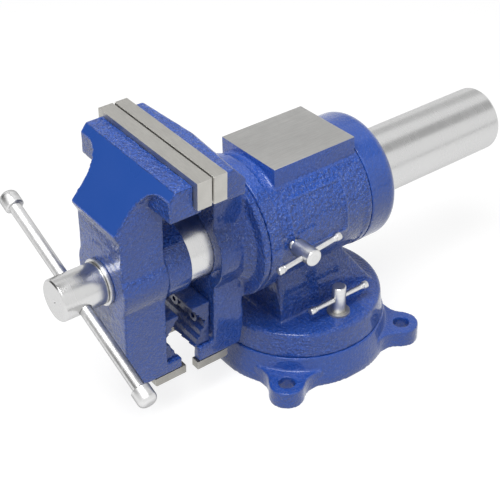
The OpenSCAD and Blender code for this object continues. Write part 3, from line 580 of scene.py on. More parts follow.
class Bench:
    """Mesh work that several pieces share."""

    merge = 0.002 * MM

    @staticmethod
    def object_from(name: str, bm: BMesh) -> Object:
        """Puts a bmesh in the scene as an object and frees it.

        Args:
            name: the object's name.
            bm: the bmesh.

        Returns:
            The new object.
        """
        mesh = bpy.data.meshes.new(name)
        bm.to_mesh(mesh)
        bm.free()
        obj = bpy.data.objects.new(name, mesh)
        bpy.context.scene.collection.objects.link(obj)
        return obj

    @staticmethod
    def apply_modifiers(obj: Object) -> None:
        """Makes an object's modifiers part of its mesh.

        Args:
            obj: the object.
        """
        graph = bpy.context.evaluated_depsgraph_get()
        done = bpy.data.meshes.new_from_object(obj.evaluated_get(graph), depsgraph=graph)
        before = obj.data
        obj.modifiers.clear()
        obj.data = done
        bpy.data.meshes.remove(before)

    @classmethod
    def copy_of_node(cls, node: str, name: str) -> Object:
        """Copies a CAD node's mesh and joins its loose triangles.

        Args:
            node: the CAD node.
            name: the new object's name.

        Returns:
            The new object.
        """
        bm = bmesh.new()
        bm.from_mesh(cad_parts[node].data)
        bmesh.ops.remove_doubles(bm, verts=bm.verts, dist=cls.merge)
        return cls.object_from(name, bm)

    @staticmethod
    def points_and_normals(mesh: Mesh) -> tuple[np.ndarray, np.ndarray]:
        """A mesh's vertex positions and normals.

        Args:
            mesh: the mesh.

        Returns:
            Two arrays of three columns, in metres and in unit lengths.
        """
        points, normals = np.empty((2, len(mesh.vertices) * 3), np.float32)
        mesh.vertices.foreach_get("co", points)
        mesh.vertex_normals.foreach_get("vector", normals)
        return points.reshape(-1, 3), normals.reshape(-1, 3)

    @staticmethod
    def write_mark(mesh: Mesh, which: Mark, values: np.ndarray) -> None:
        """Stores one number a vertex in an attribute."""
        layer = mesh.attributes.new(which.value, "FLOAT", "POINT")
        layer.data.foreach_set("value", np.ascontiguousarray(values, np.float32))

    @classmethod
    def dress_evenly(cls, obj: Object, calm: float) -> None:
        """Marks a whole object as calm by one share and shades it with sharp corners."""
        cls.write_mark(obj.data, Mark.CALM, np.full(len(obj.data.vertices), calm))
        cls.smooth(obj)

    @staticmethod
    def smooth(obj: Object) -> None:
        """Shades an object smooth between its sharp corners."""
        obj.data.shade_smooth()
        obj.data.set_sharp_from_angle(angle=SHARP_CORNER)

    @classmethod
    def cut(cls, obj: Object, cutter: BMesh) -> None:
        """Takes one closed shape out of another.

        Args:
            obj: the object that is cut.
            cutter: the shape that is taken out, freed here.
        """
        tool = cls.object_from(obj.name + "_cutter", cutter)
        step = obj.modifiers.new("cut", "BOOLEAN")
        step.operation = "DIFFERENCE"
        step.solver = "EXACT"
        step.object = tool
        cls.apply_modifiers(obj)
        bpy.data.objects.remove(tool)


@dataclass(frozen=True)
class Profile:
    """What is turned: radius and distance along the axis, and the rounding of every corner."""

    outline: Sequence[Pair]
    edge: float
    ring: bool = False


@dataclass(frozen=True)
class Lathe:
    """Makes turned pieces about one axis."""

    origin: Vector
    direction: Vector
    steps: int = 96
    corner: float = math.radians(28)
    merge: float = 0.001 * MM

    def _placing(self) -> Matrix:
        """The matrix from the lathe's own Z axis to the piece's place."""
        turn = Vector((0, 0, 1)).rotation_difference(self.direction)
        return Matrix.Translation(self.origin) @ turn.to_matrix().to_4x4()

    def _turn(self, name: str, profile: Profile) -> Object:
        """Turns an outline and rounds its corners.

        Args:
            name: the object's name.
            profile: the outline, closed on itself where the piece has a bore.

        Returns:
            The new object.
        """
        bm = bmesh.new()
        verts = [bm.verts.new((radius, 0.0, along)) for radius, along in profile.outline]
        pairs = list(zip(verts, verts[1:])) + ([(verts[-1], verts[0])] if profile.ring else [])
        edges = [bm.edges.new(pair) for pair in pairs]
        bmesh.ops.spin(
            bm, geom=verts + edges, cent=(0, 0, 0), axis=(0, 0, 1), dvec=(0, 0, 0), angle=math.tau,
            steps=self.steps, use_merge=True, use_duplicate=False,
        )
        bmesh.ops.remove_doubles(bm, verts=bm.verts, dist=self.merge)
        bmesh.ops.recalc_face_normals(bm, faces=bm.faces)
        sharp = [e for e in bm.edges if len(e.link_faces) == 2 and e.calc_face_angle(0.0) > self.corner]
        bmesh.ops.bevel(
            bm, geom=sharp, offset=profile.edge, offset_type="OFFSET", segments=3, profile=0.5,
            affect="EDGES", material=-1, clamp_overlap=True,
        )
        bmesh.ops.transform(bm, matrix=self._placing(), verts=bm.verts)
        return Bench.object_from(name, bm)

    def _mark(self, obj: Object) -> None:
        """Stores each vertex's place along the axis and its distance from it.

        Args:
            obj: the turned object.
        """
        points, _ = Bench.points_and_normals(obj.data)
        offset = points - np.array(self.origin, np.float32)
        direction = np.array(self.direction, np.float32)
        along = offset @ direction
        radius = np.linalg.norm(offset - np.outer(along, direction), axis=1)
        Bench.write_mark(obj.data, Mark.ALONG, along)
        Bench.write_mark(obj.data, Mark.RADIUS, radius)

    def make(self, piece: Piece, profile: Profile, material: Material, cutter: BMesh | None = None) -> None:
        """Turns a piece, cuts it and dresses it.

        Args:
            piece: its name, body and nodes.
            profile: what is turned.
            material: its finish.
            cutter: a shape that is taken out of it.
        """
        obj = self._turn(piece.name, profile)
        if cutter:
            Bench.cut(obj, cutter)
        self._mark(obj)
        Bench.smooth(obj)
        piece.settle(obj, material)

    def rod(self, radius: float, half: float) -> BMesh:
        """A plain rod on the axis, for cutting.

        Args:
            radius: its radius.
            half: how far it reaches each way from the origin.

        Returns:
            A new bmesh.
        """
        bm = bmesh.new()
        bmesh.ops.create_cone(
            bm, cap_ends=True, cap_tris=False, segments=64, radius1=radius, radius2=radius,
            depth=2 * half, matrix=self._placing(),
        )
        return bm


def round_end(radius: float, end: float, rounding: float, steps: int = 6) -> list[Pair]:
    """Outline points of a rounded outer corner that closes at the axis.

    Args:
        radius: the piece's radius.
        end: the end's place along the axis.
        rounding: the corner's radius.
        steps: how many steps the arc has.

    Returns:
        Points from the side to the middle of the end.
    """
    angles = [math.pi / 2 * i / steps for i in range(steps + 1)]
    centre = radius - rounding
    arc = [(centre + rounding * math.cos(a), end - rounding + rounding * math.sin(a)) for a in angles]
    return arc + [(0.0, end)]


def both_ends(half: Sequence[Pair]) -> list[Pair]:
    """An outline that is the same on each side of its middle."""
    return [(radius, -along) for radius, along in reversed(half)] + list(half)


def thread_rings(outer: float, depth: float, low: float, high: float, pitch: float) -> list[Pair]:
    """Outline points of a short stretch of screw thread.

    Args:
        outer: the thread's outer radius.
        depth: how deep each turn is.
        low: where the thread starts.
        high: where the thread ends.
        pitch: about the length of one turn.

    Returns:
        Points along the thread.
    """
    turns = int((high - low) / pitch)
    step = (high - low) / turns
    points: list[Pair] = []
    for i in range(turns):
        points += [(outer - depth, low + i * step), (outer, low + (i + 0.5) * step)]
    return points + [(outer - depth, high)]


@dataclass(frozen=True)
class HeadFrame:
    """The head's own axis and its turn about it."""

    axis_z: float
    roll: float = math.radians(2.9)

    def rolled(self) -> Matrix:
        """The matrix from the level head to the rolled one."""
        lift = Matrix.Translation((0, 0, self.axis_z))
        return lift @ Matrix.Rotation(self.roll, 4, "Y") @ lift.inverted()

    def levelled(self, normals: np.ndarray) -> np.ndarray:
        """Normals as they point with the head level."""
        return normals @ np.array(self.rolled().inverted().to_3x3(), np.float32).T


@dataclass(frozen=True)
class Casting:
    """A sand casting made from a CAD node: rounded corners and an uneven skin."""

    name: str
    body: Body
    node: str
    voxel: float
    passes: int = 4
    softness: float = 0.5
    relief: float = 0.16 * MM
    cell: float = 3.4 * MM
    calm: Mask | None = None

    def make(self, material: Material) -> None:
        """Builds the casting and dresses it.

        Args:
            material: its enamel.
        """
        obj = Bench.copy_of_node(self.node, self.name)
        skin = obj.modifiers.new("skin", "REMESH")
        skin.mode = "VOXEL"
        skin.voxel_size = self.voxel
        soften = obj.modifiers.new("soften", "SMOOTH")
        soften.factor = self.softness
        soften.iterations = self.passes
        Bench.apply_modifiers(obj)
        points, normals = Bench.points_and_normals(obj.data)
        calm = self.calm(points, normals) if self.calm else np.zeros(len(points), np.float32)
        obj.data.vertices.foreach_set("co", self._roughened(points, normals, calm).ravel())
        obj.data.update()
        Bench.write_mark(obj.data, Mark.CALM, calm)
        obj.data.shade_smooth()
        Piece(self.name, self.body, Slot.ENAMEL, (self.node,)).settle(obj, material)

    def _roughened(self, points: np.ndarray, normals: np.ndarray, calm: np.ndarray) -> np.ndarray:
        """Sinks the skin a little, unevenly, where it isn't calm.

        Args:
            points: the casting's vertices.
            normals: their normals.
            calm: 1 where the skin is machined.

        Returns:
            The vertices' new places.
        """
        lumps = np.array([noise.noise(Vector(p)) for p in (points / self.cell).tolist()], np.float32)
        sink = self.relief * (0.5 + 0.5 * lumps) * (1.0 - calm)
        return points - normals * sink[:, None]


def facing(
    normals: np.ndarray, direction: Sequence[float], start: float = 0.90, end: float = 0.98
) -> np.ndarray:
    """How squarely each normal faces a direction.

    Args:
        normals: unit normals.
        direction: the direction.
        start: the cosine where the result leaves 0.
        end: the cosine where it reaches 1.

    Returns:
        One number from 0 to 1 for each normal.
    """
    return np.clip((normals @ np.array(direction, np.float32) - start) / (end - start), 0.0, 1.0)


@dataclass(frozen=True)
class SubAssembly:
    """A part of the vise that is built and dressed together."""

    finishes: Finishes


@dataclass(frozen=True)
class Base(SubAssembly):
    """The fixed base with its four ears."""

    voxel: float = 1.0 * MM
    smoothness: float = 0.68

    def build(self) -> None:
        """Builds the base casting."""
        casting = Casting("base_casting", Body.BASE, "base_plate", self.voxel, calm=self._calm)
        casting.make(self.finishes.enamel)

    def _calm(self, points: np.ndarray, normals: np.ndarray) -> np.ndarray:
        """The underside is machined, and the rest is smoother than the barrel."""
        return np.maximum(facing(normals, (0, 0, -1)), self.smoothness)


@dataclass(frozen=True)
class ViseBody(SubAssembly):
    """Swivel disc, pedestal, barrel and anvil."""

    voxel: float = 1.3 * MM
    barrel_axis: float = 141.2 * MM
    barrel_radius: float = 54.0 * MM
    disc_top: float = 62.0 * MM
    disc_blend: float = 12.0 * MM
    disc_smoothness: float = 0.32
    frame_middle: Pair = (-21.6 * MM, 13.0 * MM)
    frame_half: Pair = (27.5 * MM, 21.0 * MM)
    frame_corner: float = 1.6 * MM
    frame_rib: float = 2.0 * MM
    frame_rise: float = 0.95 * MM
    frame_root: float = 0.4 * MM
    frame_slant: float = 0.3 * MM
    frame_smoothness: float = 0.35
    corner_steps: int = 4
    side_steps: int = 16
    anvil_width: float = 66.8 * MM
    anvil_front: float = -51.6 * MM
    anvil_rear: float = 29.6 * MM
    anvil_low: float = 172.0 * MM
    anvil_edge: float = 0.35 * MM
    anvil_proud: float = 0.10 * MM
    anvil_bare: float = 1.0 * MM
    anvil_margin: float = 1.0 * MM
    anvil_smoothness: float = 0.6
    block_smoothness: float = 0.55

    def build(self) -> None:
        """Builds the casting, the anvil's sharper block and the barrel's frames."""
        Casting(
            "vise_body_casting", Body.VISE, "body_casting", self.voxel, passes=3, calm=self._calm
        ).make(self.finishes.enamel)
        self._anvil()
        self._frames()

    def _calm(self, points: np.ndarray, normals: np.ndarray) -> np.ndarray:
        """The anvil's sides and the disc are dressed smoother than the barrel.

        Args:
            points: the casting's vertices.
            normals: their normals.

        Returns:
            1 where the skin is machined, 0 where it is as cast.
        """
        half = self.anvil_width / 2 + self.anvil_margin
        block = (np.abs(points[:, 0]) < half) & (points[:, 2] > self.anvil_low)
        disc = np.clip((self.disc_top - points[:, 2]) / self.disc_blend, 0.0, 1.0) * self.disc_smoothness
        return np.where(block, self.block_smoothness, disc).astype(np.float32)

    def _anvil(self) -> None:
        """The anvil block with crisp edges, its top ground bare."""
        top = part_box("body_casting")[1].z
        length = self.anvil_rear - self.anvil_front
        middle = Vector((0, (self.anvil_rear + self.anvil_front) / 2, (top + self.anvil_low) / 2))
        proud = 2 * self.anvil_proud
        scale = Matrix.Diagonal((self.anvil_width + proud, length + proud, top - self.anvil_low, 1))
        bm = bmesh.new()
        bmesh.ops.create_cube(bm, size=1.0, matrix=Matrix.Translation(middle) @ scale)
        bmesh.ops.bevel(
            bm, geom=bm.edges[:], offset=self.anvil_edge, offset_type="OFFSET", segments=3, profile=0.5,
            affect="EDGES", material=-1,
        )
        bm.normal_update()
        for face in bm.faces:
            high = face.calc_center_median().z > top - self.anvil_bare
            face.material_index = int(high and face.normal.z > 0.5)
        obj = Bench.object_from("anvil_block", bm)
        Bench.dress_evenly(obj, self.anvil_smoothness)
        Piece("anvil_block", Body.VISE, Slot.ENAMEL).settle(obj, self.finishes.enamel, self.finishes.anvil)

    def _frame_path(self) -> list[tuple[float, float, float, float]]:
        """The middle line of a side's raised frame, round a rectangle with rounded corners.

        Returns:
            Place along the barrel, height, and the outward direction in that plane.
        """
        turn = self.frame_corner
        reach, rise = self.frame_half[0] - turn, self.frame_half[1] - turn
        path: list[tuple[float, float, float, float]] = []
        for corner, (along, up) in enumerate(((1, 1), (-1, 1), (-1, -1), (1, -1))):
            for step in range(self.corner_steps + 1):
                angle = math.pi / 2 * (corner + step / self.corner_steps)
                way = (math.cos(angle), math.sin(angle))
                path.append((along * reach + turn * way[0], up * rise + turn * way[1], *way))
            if corner % 2:
                for step in range(1, self.side_steps):
                    height = up * rise * (1 - 2 * step / self.side_steps)
                    path.append((along * self.frame_half[0], height, float(along), 0.0))
        return path

    def _frames(self) -> None:
        """The raised frame on each side of the barrel."""
        half, slant = self.frame_rib / 2, self.frame_slant
        low, high = self.barrel_radius - self.frame_root, self.barrel_radius + self.frame_rise
        section = ((-half, low), (slant - half, high), (half - slant, high), (half, low))
        bm = bmesh.new()
        for side in (-1, 1):
            rings = []
            for along, height, way_along, way_up in self._frame_path():
                ring = []
                for offset, radius in section:
                    up = self.frame_middle[1] + height + offset * way_up
                    out = side * math.sqrt(radius * radius - up * up)
                    back = self.frame_middle[0] + along + offset * way_along
                    ring.append(bm.verts.new((out, back, self.barrel_axis + up)))
                rings.append(ring)
            for first, second in zip(rings, rings[1:] + rings[:1]):
                for i in range(len(section)):
                    bm.faces.new((first[i], first[i - 1], second[i - 1], second[i]))
        bmesh.ops.recalc_face_normals(bm, faces=bm.faces)
        obj = Bench.object_from("barrel_frames", bm)
        Bench.dress_evenly(obj, self.frame_smoothness)
        Piece("barrel_frames", Body.VISE, Slot.ENAMEL).settle(obj, self.finishes.enamel)


@dataclass(frozen=True)
class LockBar:
    """A small sliding bar with a ring and a cap on each end."""

    radius: float = 2.2 * MM
    ring: float = 2.8 * MM
    ring_length: float = 0.6 * MM
    ring_slope: float = 0.3 * MM
    ring_gap: float = 0.4 * MM
    cap: float = 3.3 * MM
    cap_length: float = 5.0 * MM
    cap_slope: float = 0.6 * MM
    cap_rounding: float = 1.0 * MM
    half: float = 26.2 * MM
    edge: float = 0.15 * MM

    def profile(self) -> Profile:
        """The bar's outline from one end to the other.

        Returns:
            What is turned.
        """
        ring_end = self.half - self.ring_gap
        ring_start = ring_end - self.ring_length - 2 * self.ring_slope
        half = [
            (self.radius, ring_start), (self.ring, ring_start + self.ring_slope),
            (self.ring, ring_end - self.ring_slope), (self.radius, ring_end),
            (self.radius, self.half), (self.cap, self.half + self.cap_slope),
        ]
        half += round_end(self.cap, self.half + self.cap_length, self.cap_rounding, steps=4)
        return Profile(both_ends(half), self.edge)


@dataclass(frozen=True)
class Lock(SubAssembly):
    """A clamping screw with a sliding bar through its head."""

    screw: float = 4.5 * MM
    edge: float = 0.2 * MM
    hole_gap: float = 0.25 * MM
    bar: LockBar = LockBar()

    def dress(
        self, name: str, bodies: tuple[Body, Body], lathe: Lathe, outline: list[Pair],
        middle: Vector, along: Vector, shift: float = 0.0,
    ) -> None:
        """Turns the screw, bores its head and puts the bar through.

        Args:
            name: the lock's name, which starts the names of its nodes.
            bodies: the screw's body and the bar's.
            lathe: the screw's lathe.
            outline: the screw's outline.
            middle: the hole's middle.
            along: the way that the hole and the bar point.
            shift: how far along the bar's middle stands from the hole's.
        """
        finish = self.finishes.plated
        reach = 2 * max(radius for radius, _ in outline)
        hole = Lathe(middle, along).rod(self.bar.radius + self.hole_gap, reach)
        screw = Piece(f"{name}_screw_turned", bodies[0], Slot.BRIGHT, (f"{name}_screw",))
        lathe.make(screw, Profile(outline, self.edge), finish, hole)
        nodes = (f"{name}_bar", f"{name}_bar_caps")
        bar = Piece(f"{name}_bar_turned", bodies[1], Slot.BRIGHT, nodes)
        Lathe(middle + along * shift, along, steps=48).make(bar, self.bar.profile(), finish)


@dataclass(frozen=True)
class HeadLock(Lock):
    """The screw in the barrel's side that holds the head, with its bar."""

    thread_depth: float = 0.7 * MM
    pitch: float = 1.5 * MM
    seat: float = 57.8 * MM
    dome: float = 1.2 * MM
    tilt: float = math.radians(6.8)
    bar_share: float = 0.62
    bar_shift: float = 1.4 * MM

    def build(self) -> None:
        """Builds the screw and its bar."""
        low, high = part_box("head_lock_screw")
        origin = Vector((0, (low.y + high.y) / 2, (low.z + high.z) / 2))
        radius = (high.y - low.y) / 2
        outline = [(0.0, low.x), *thread_rings(self.screw, self.thread_depth, low.x, self.seat, self.pitch)]
        outline += [(radius, self.seat), *round_end(radius, high.x, self.dome)]
        middle = origin + Vector((self.seat + (high.x - self.seat) * self.bar_share, 0, 0))
        along = Vector((0, math.cos(self.tilt), math.sin(self.tilt)))
        bodies = (Body.HEAD_LOCK, Body.HEAD_LOCK_BAR)
        lathe = Lathe(origin, Axis.RIGHT.vector)
        self.dress("head_lock", bodies, lathe, outline, middle, along, self.bar_shift)


@dataclass(frozen=True)
class SwivelLock(Lock):
    """The screw through the swivel disc, with its bar."""

    seat: float = 52.6 * MM
    dome: float = 1.4 * MM

    def build(self) -> None:
        """Builds the screw and its bar."""
        low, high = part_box("swivel_lock_screw")
        origin = Vector(((low.x + high.x) / 2, (low.y + high.y) / 2, 0))
        radius = (high.x - low.x) / 2
        outline = [(0.0, low.z), (self.screw, low.z), (self.screw, self.seat), (radius, self.seat)]
        outline += round_end(radius, high.z, self.dome)
        middle = origin + Vector((0, 0, (self.seat + high.z) / 2))
        bodies = (Body.SWIVEL_LOCK, Body.SWIVEL_LOCK_BAR)
        lathe = Lathe(origin, Axis.UP.vector)
        self.dress("swivel_lock", bodies, lathe, outline, middle, Axis.BACK.vector)


@dataclass(frozen=True)
class JawHead(SubAssembly):
    """What the two jaws share: the head's frame and the size of their skins."""

    head: HeadFrame
    side_smoothness: float = 0.5
    insert_voxel: float = 0.55 * MM
    insert_relief: float = 0.08 * MM

    def sides(self, normals: np.ndarray) -> np.ndarray:
        """The sides are dressed smoother than the rest."""
        return self.side_smoothness * facing(np.abs(self.head.levelled(normals)), (1, 0, 0))

    def insert(self, node: str, body: Body) -> None:
        """Builds a pipe jaw.

        Args:
            node: the CAD node.
            body: what it rides on.
        """
        Casting(
            node + "_casting", body, node, self.insert_voxel, passes=2, relief=self.insert_relief
        ).make(self.finishes.shaded)


@dataclass(frozen=True)
class StaticJaw(JawHead):
    """The turning head: static jaw, sleeve, rear cap and pipe jaw."""

    voxel: float = 1.2 * MM
    cap_voxel: float = 0.9 * MM
    cap_smoothness: float = 0.72

    def build(self) -> None:
        """Builds the castings of the head."""
        enamel = self.finishes.enamel
        Casting("static_jaw_casting", Body.HEAD, "static_jaw", self.voxel, calm=self._calm).make(enamel)
        Casting("rear_cap_casting", Body.HEAD, "rear_cap", self.cap_voxel, calm=self._cap_calm).make(enamel)
        self.insert("static_pipe_jaw", Body.HEAD)

    def _calm(self, points: np.ndarray, normals: np.ndarray) -> np.ndarray:
        """The sides are dressed smoother than the rest."""
        return self.sides(normals)

    def _cap_calm(self, points: np.ndarray, normals: np.ndarray) -> np.ndarray:
        """The rear cap is turned and smooth under its paint."""
        return np.full(len(points), self.cap_smoothness, np.float32)


@dataclass(frozen=True)
class MovingJaw(JawHead):
    """The moving jaw and its pipe jaw."""

    voxel: float = 1.0 * MM
    slope_top: Pair = (-161.2 * MM, 240.7 * MM)
    slope_nose: Pair = (-195.0 * MM, 199.4 * MM)
    slope_facing: Pair = (0.93, 0.985)

    def build(self) -> None:
        """Builds the castings of the moving jaw."""
        Casting(
            "moving_jaw_casting", Body.FRONT_JAW, "moving_jaw", self.voxel, passes=3, calm=self._calm
        ).make(self.finishes.enamel)
        self.insert("moving_pipe_jaw", Body.FRONT_JAW)

    def _slope_normal(self) -> Vector:
        """The way that the sloped face looks with the head level."""
        back, up = (nose - top for nose, top in zip(self.slope_nose, self.slope_top))
        return Vector((0, up, -back)).normalized()

    def _calm(self, points: np.ndarray, normals: np.ndarray) -> np.ndarray:
        """The sloped face is machined, and the sides are dressed."""
        slope = facing(self.head.levelled(normals), self._slope_normal(), *self.slope_facing)
        return np.maximum(slope, self.sides(normals))


@dataclass(frozen=True)
class Ram(SubAssembly):
    """The round steel ram and its end cap."""

    head: HeadFrame
    wall: float = 7.0 * MM
    rounding: float = 3.0 * MM
    edge: float = 0.5 * MM
    slot_half_width: float = 5.3 * MM
    slot_front: float = -76.5 * MM
    slot_rear: float = 63.0 * MM
    cap_gap: float = 0.03 * MM
    cap_edge: float = 0.2 * MM
    cap_hole: float = 5.2 * MM
    dish: float = 0.8 * MM
    rim_width: float = 3.0 * MM
    rim_slope: float = 1.0 * MM
    hub_width: float = 2.4 * MM
    hub_slope: float = 0.6 * MM

    def build(self) -> None:
        """Builds the ram and its end cap."""
        low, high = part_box("ram_tube")
        radius = (high.x - low.x) / 2
        bore = radius - self.wall
        lathe = Lathe(Vector((0, 0, self.head.axis_z)), Axis.BACK.vector, steps=144)
        rear = round_end(radius, high.y, self.rounding)[:-1]
        outline = [(bore, low.y), (radius, low.y), *rear, (bore, high.y)]
        tube = Piece("ram_turned", Body.FRONT_JAW, Slot.BRIGHT, ("ram_tube",))
        lathe.make(tube, Profile(outline, self.edge, ring=True), self.finishes.turned, self._slot(radius))
        self._end_cap(lathe, bore)

    def _slot(self, radius: float) -> BMesh:
        """The key's slot along the underside.

        Args:
            radius: the ram's radius.

        Returns:
            A box that cuts it.
        """
        bm = bmesh.new()
        length = self.slot_rear - self.slot_front
        middle = Vector((0, (self.slot_rear + self.slot_front) / 2, self.head.axis_z - radius))
        scale = Matrix.Diagonal((2 * self.slot_half_width, length, radius, 1))
        bmesh.ops.create_cube(bm, size=1.0, matrix=self.head.rolled() @ Matrix.Translation(middle) @ scale)
        return bm

    def _end_cap(self, lathe: Lathe, bore: float) -> None:
        """The dished plug in the ram's rear end.

        Args:
            lathe: the ram's lathe.
            bore: the ram's inner radius.
        """
        low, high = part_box("ram_end_cap")
        hole, rim, floor = self.cap_hole, bore - self.cap_gap, high.y - self.dish
        inner, hub = rim - self.rim_width, hole + self.hub_width
        outline = [
            (hole, low.y), (rim, low.y), (rim, high.y), (inner, high.y), (inner - self.rim_slope, floor),
            (hub + self.hub_slope, floor), (hub, high.y), (hole, high.y),
        ]
        cap = Piece("ram_end_cap_turned", Body.FRONT_JAW, Slot.DARK, ("ram_end_cap",))
        lathe.make(cap, Profile(outline, self.cap_edge, ring=True), self.finishes.oiled)


@dataclass(frozen=True)
class Handle(SubAssembly):
    """The sliding handle bar with its knobs."""

    slope: float = math.radians(23.5)
    between_knobs: float = 192.6 * MM
    knob: float = 7.7 * MM
    knob_length: float = 14.0 * MM
    bar: float = 5.0 * MM
    shoulder: float = 0.9 * MM
    shoulder_slope: float = 0.2 * MM
    dome: float = 4.6 * MM
    edge: float = 0.25 * MM

    def direction(self) -> Vector:
        """The way that the bar points, down to the right."""
        return Vector((math.cos(self.slope), 0, -math.sin(self.slope)))

    def middle(self) -> Vector:
        """The bar's middle in the row's frame."""
        low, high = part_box("handle_bar")
        return (low + high) / 2

    def build(self) -> None:
        """Builds the handle."""
        start = (self.between_knobs - self.knob_length) / 2
        half = [
            (self.bar, start), (self.knob - self.shoulder, start + self.shoulder_slope),
            (self.knob, start + self.shoulder),
        ]
        half += round_end(self.knob, start + self.knob_length, self.dome, steps=8)
        handle = Piece("handle_turned", Body.HANDLE, Slot.BRIGHT, ("handle_bar", "handle_knobs"))
        lathe = Lathe(self.middle(), self.direction())
        lathe.make(handle, Profile(both_ends(half), self.edge), self.finishes.plated)


@dataclass(frozen=True)
class Spindle(SubAssembly):
    """The spindle with its large head, and its thrust washer."""

    screw: float = 10.0 * MM
    stub: float = 5.0 * MM
    stub_rounding: float = 1.0 * MM
    chamfer: float = 1.2 * MM
    centre_hole: float = 1.6 * MM
    centre_bottom: float = 0.56 * MM
    centre_depth: float = 1.92 * MM
    edge: float = 0.35 * MM
    shoulder: float = -194.74 * MM
    thread_end: float = 199.2 * MM
    hole_gap: float = 0.35 * MM
    washer_gap: float = 0.1 * MM
    washer_edge: float = 0.5 * MM

    def build(self) -> None:
        """Builds the spindle and its washer."""
        low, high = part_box("spindle")
        radius = (high.x - low.x) / 2
        origin = Vector((0, 0, (low.z + high.z) / 2))
        lathe = Lathe(origin, Axis.BACK.vector, steps=128)
        pit = low.y + self.centre_depth
        outline = [
            (0.0, pit), (self.centre_bottom, pit), (self.centre_hole, low.y),
            (radius - self.chamfer, low.y), (radius, low.y + self.chamfer), (radius, self.shoulder),
            (self.screw, self.shoulder), (self.screw, self.thread_end), (self.stub, self.thread_end),
            *round_end(self.stub, high.y, self.stub_rounding, steps=3),
        ]
        handle = Handle(self.finishes)
        way = Lathe(Vector((0, handle.middle().y, origin.z)), handle.direction())
        hole = way.rod(handle.bar + self.hole_gap, 2 * radius)
        spindle = Piece("spindle_turned", Body.SCREW, Slot.BRIGHT, ("spindle",))
        lathe.make(spindle, Profile(outline, self.edge), self.finishes.turned, hole)
        self._washer(lathe)

    def _washer(self, lathe: Lathe) -> None:
        """The thrust washer between the head and the moving jaw.

        Args:
            lathe: the spindle's lathe.
        """
        low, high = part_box("thrust_washer")
        radius, bore = (high.x - low.x) / 2, self.screw + self.washer_gap
        outline = [(bore, low.y), (radius, low.y), (radius, high.y), (bore, high.y)]
        washer = Piece("thrust_washer_turned", Body.FRONT_JAW, Slot.BRIGHT, ("thrust_washer",))
        lathe.make(washer, Profile(outline, self.washer_edge, ring=True), self.finishes.turned)


@dataclass(frozen=True)
class Fittings(SubAssembly):
    """CAD nodes that keep their shape and take a better finish."""

    ground: tuple[str, ...] = ("rear_jaw_plate", "front_jaw_plate", "swivel_lock_washer")
    feet: tuple[str, ...] = ("static_foot_bars", "moving_foot_bars")
    # These screws take the darker insert enamel, whose darkness is painted shade.
    painted: tuple[str, ...] = ("static_pipe_screws", "moving_pipe_screws")
    brass: tuple[str, ...] = ("spindle_nut", "head_lock_plug")
    oiled: tuple[str, ...] = (
        "pivot_bolt", "pivot_washer", "pivot_nut", "swivel_clamp_nut", "rear_cap_screws", "nut_key",
        "rear_plate_screws", "static_foot_screws", "front_plate_screws", "moving_foot_screws",
        "spindle_retainer", "retainer_pin",
    )

    def build(self) -> None:
        """Gives each node its finish."""
        for nodes, made in (
            (self.ground, self.finishes.ground), (self.feet, self.finishes.feet),
            (self.painted, self.finishes.shaded), (self.brass, self.finishes.brass),
            (self.oiled, self.finishes.oiled),
        ):
            for node in nodes:
                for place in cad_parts[node].material_slots:
                    place.material = made
                LOG.info("%s: kept", node)


def outward(azimuth: float, elevation: float) -> Vector:
    """The way from the vise to a lamp or the camera.

    Args:
        azimuth: degrees round from the handle's end towards +X.
        elevation: degrees up from the bench.

    Returns:
        A unit vector.
    """
    around, up = math.radians(azimuth), math.radians(elevation)
    return Vector((math.sin(around) * math.cos(up), -math.cos(around) * math.cos(up), math.sin(up)))


@dataclass(frozen=True)
class Lamp:
    """One soft box."""

    name: str
    azimuth: float
    elevation: float
    distance: float
    size: float
    power: float
    mirrored: bool = True

    def build(self, target: Vector) -> None:
        """Hangs the lamp so that it looks at the target.

        Args:
            target: the point that it looks at.
        """
        back = outward(self.azimuth, self.elevation)
        data = bpy.data.lights.new(self.name, "AREA")
        data.shape = "SQUARE"
        data.size = self.size
        data.energy = self.power
        obj = bpy.data.objects.new(self.name, data)
        obj.location = target + back * self.distance
        obj.rotation_euler = (-back).to_track_quat("-Z", "Y").to_euler()
        obj.visible_glossy = self.mirrored
        bpy.context.scene.collection.objects.link(obj)


@dataclass(frozen=True)
class Card:
    """A grey card that only reflections show, leaned along the ram."""

    name: str
    turn: float
    lean: float
    distance: float
    across: float
    along: float
    tone: float

    def build(self, target: Vector) -> None:
        """Hangs the card with its X across the ram, its Y along it and its Z away from the target.

        Args:
            target: the point that it faces.
        """
        turn, lean = math.radians(self.turn), math.radians(self.lean)
        out = Vector((math.cos(turn) * math.cos(lean), math.sin(lean), math.sin(turn) * math.cos(lean)))
        along = Vector((-math.cos(turn) * math.sin(lean), math.cos(lean), -math.sin(turn) * math.sin(lean)))
        axes = Matrix((along.cross(out), along, out)).transposed().to_4x4()
        size = Matrix.Diagonal((self.across, self.along, 1, 1))
        surface = Surface(self.name)
        light = surface.add("Emission", {"Color": WHITE, "Strength": self.tone})
        placing = Matrix.Translation(target + out * self.distance) @ axes @ size
        obj = stage_sheet(self.name, placing, surface.lit_by(light))
        obj.visible_camera = False
        obj.visible_diffuse = False
        obj.visible_shadow = False


def stage_sheet(name: str, placing: Matrix, material: Material) -> Object:
    """A flat sheet of the studio, one metre square before it is placed.

    Args:
        name: the object's name.
        placing: its place and size.
        material: its material.

    Returns:
        The sheet.
    """
    bm = bmesh.new()
    bmesh.ops.create_grid(bm, x_segments=1, y_segments=1, size=0.5, matrix=placing)
    obj = Bench.object_from(name, bm)
    obj.data.materials.append(material)
    return obj


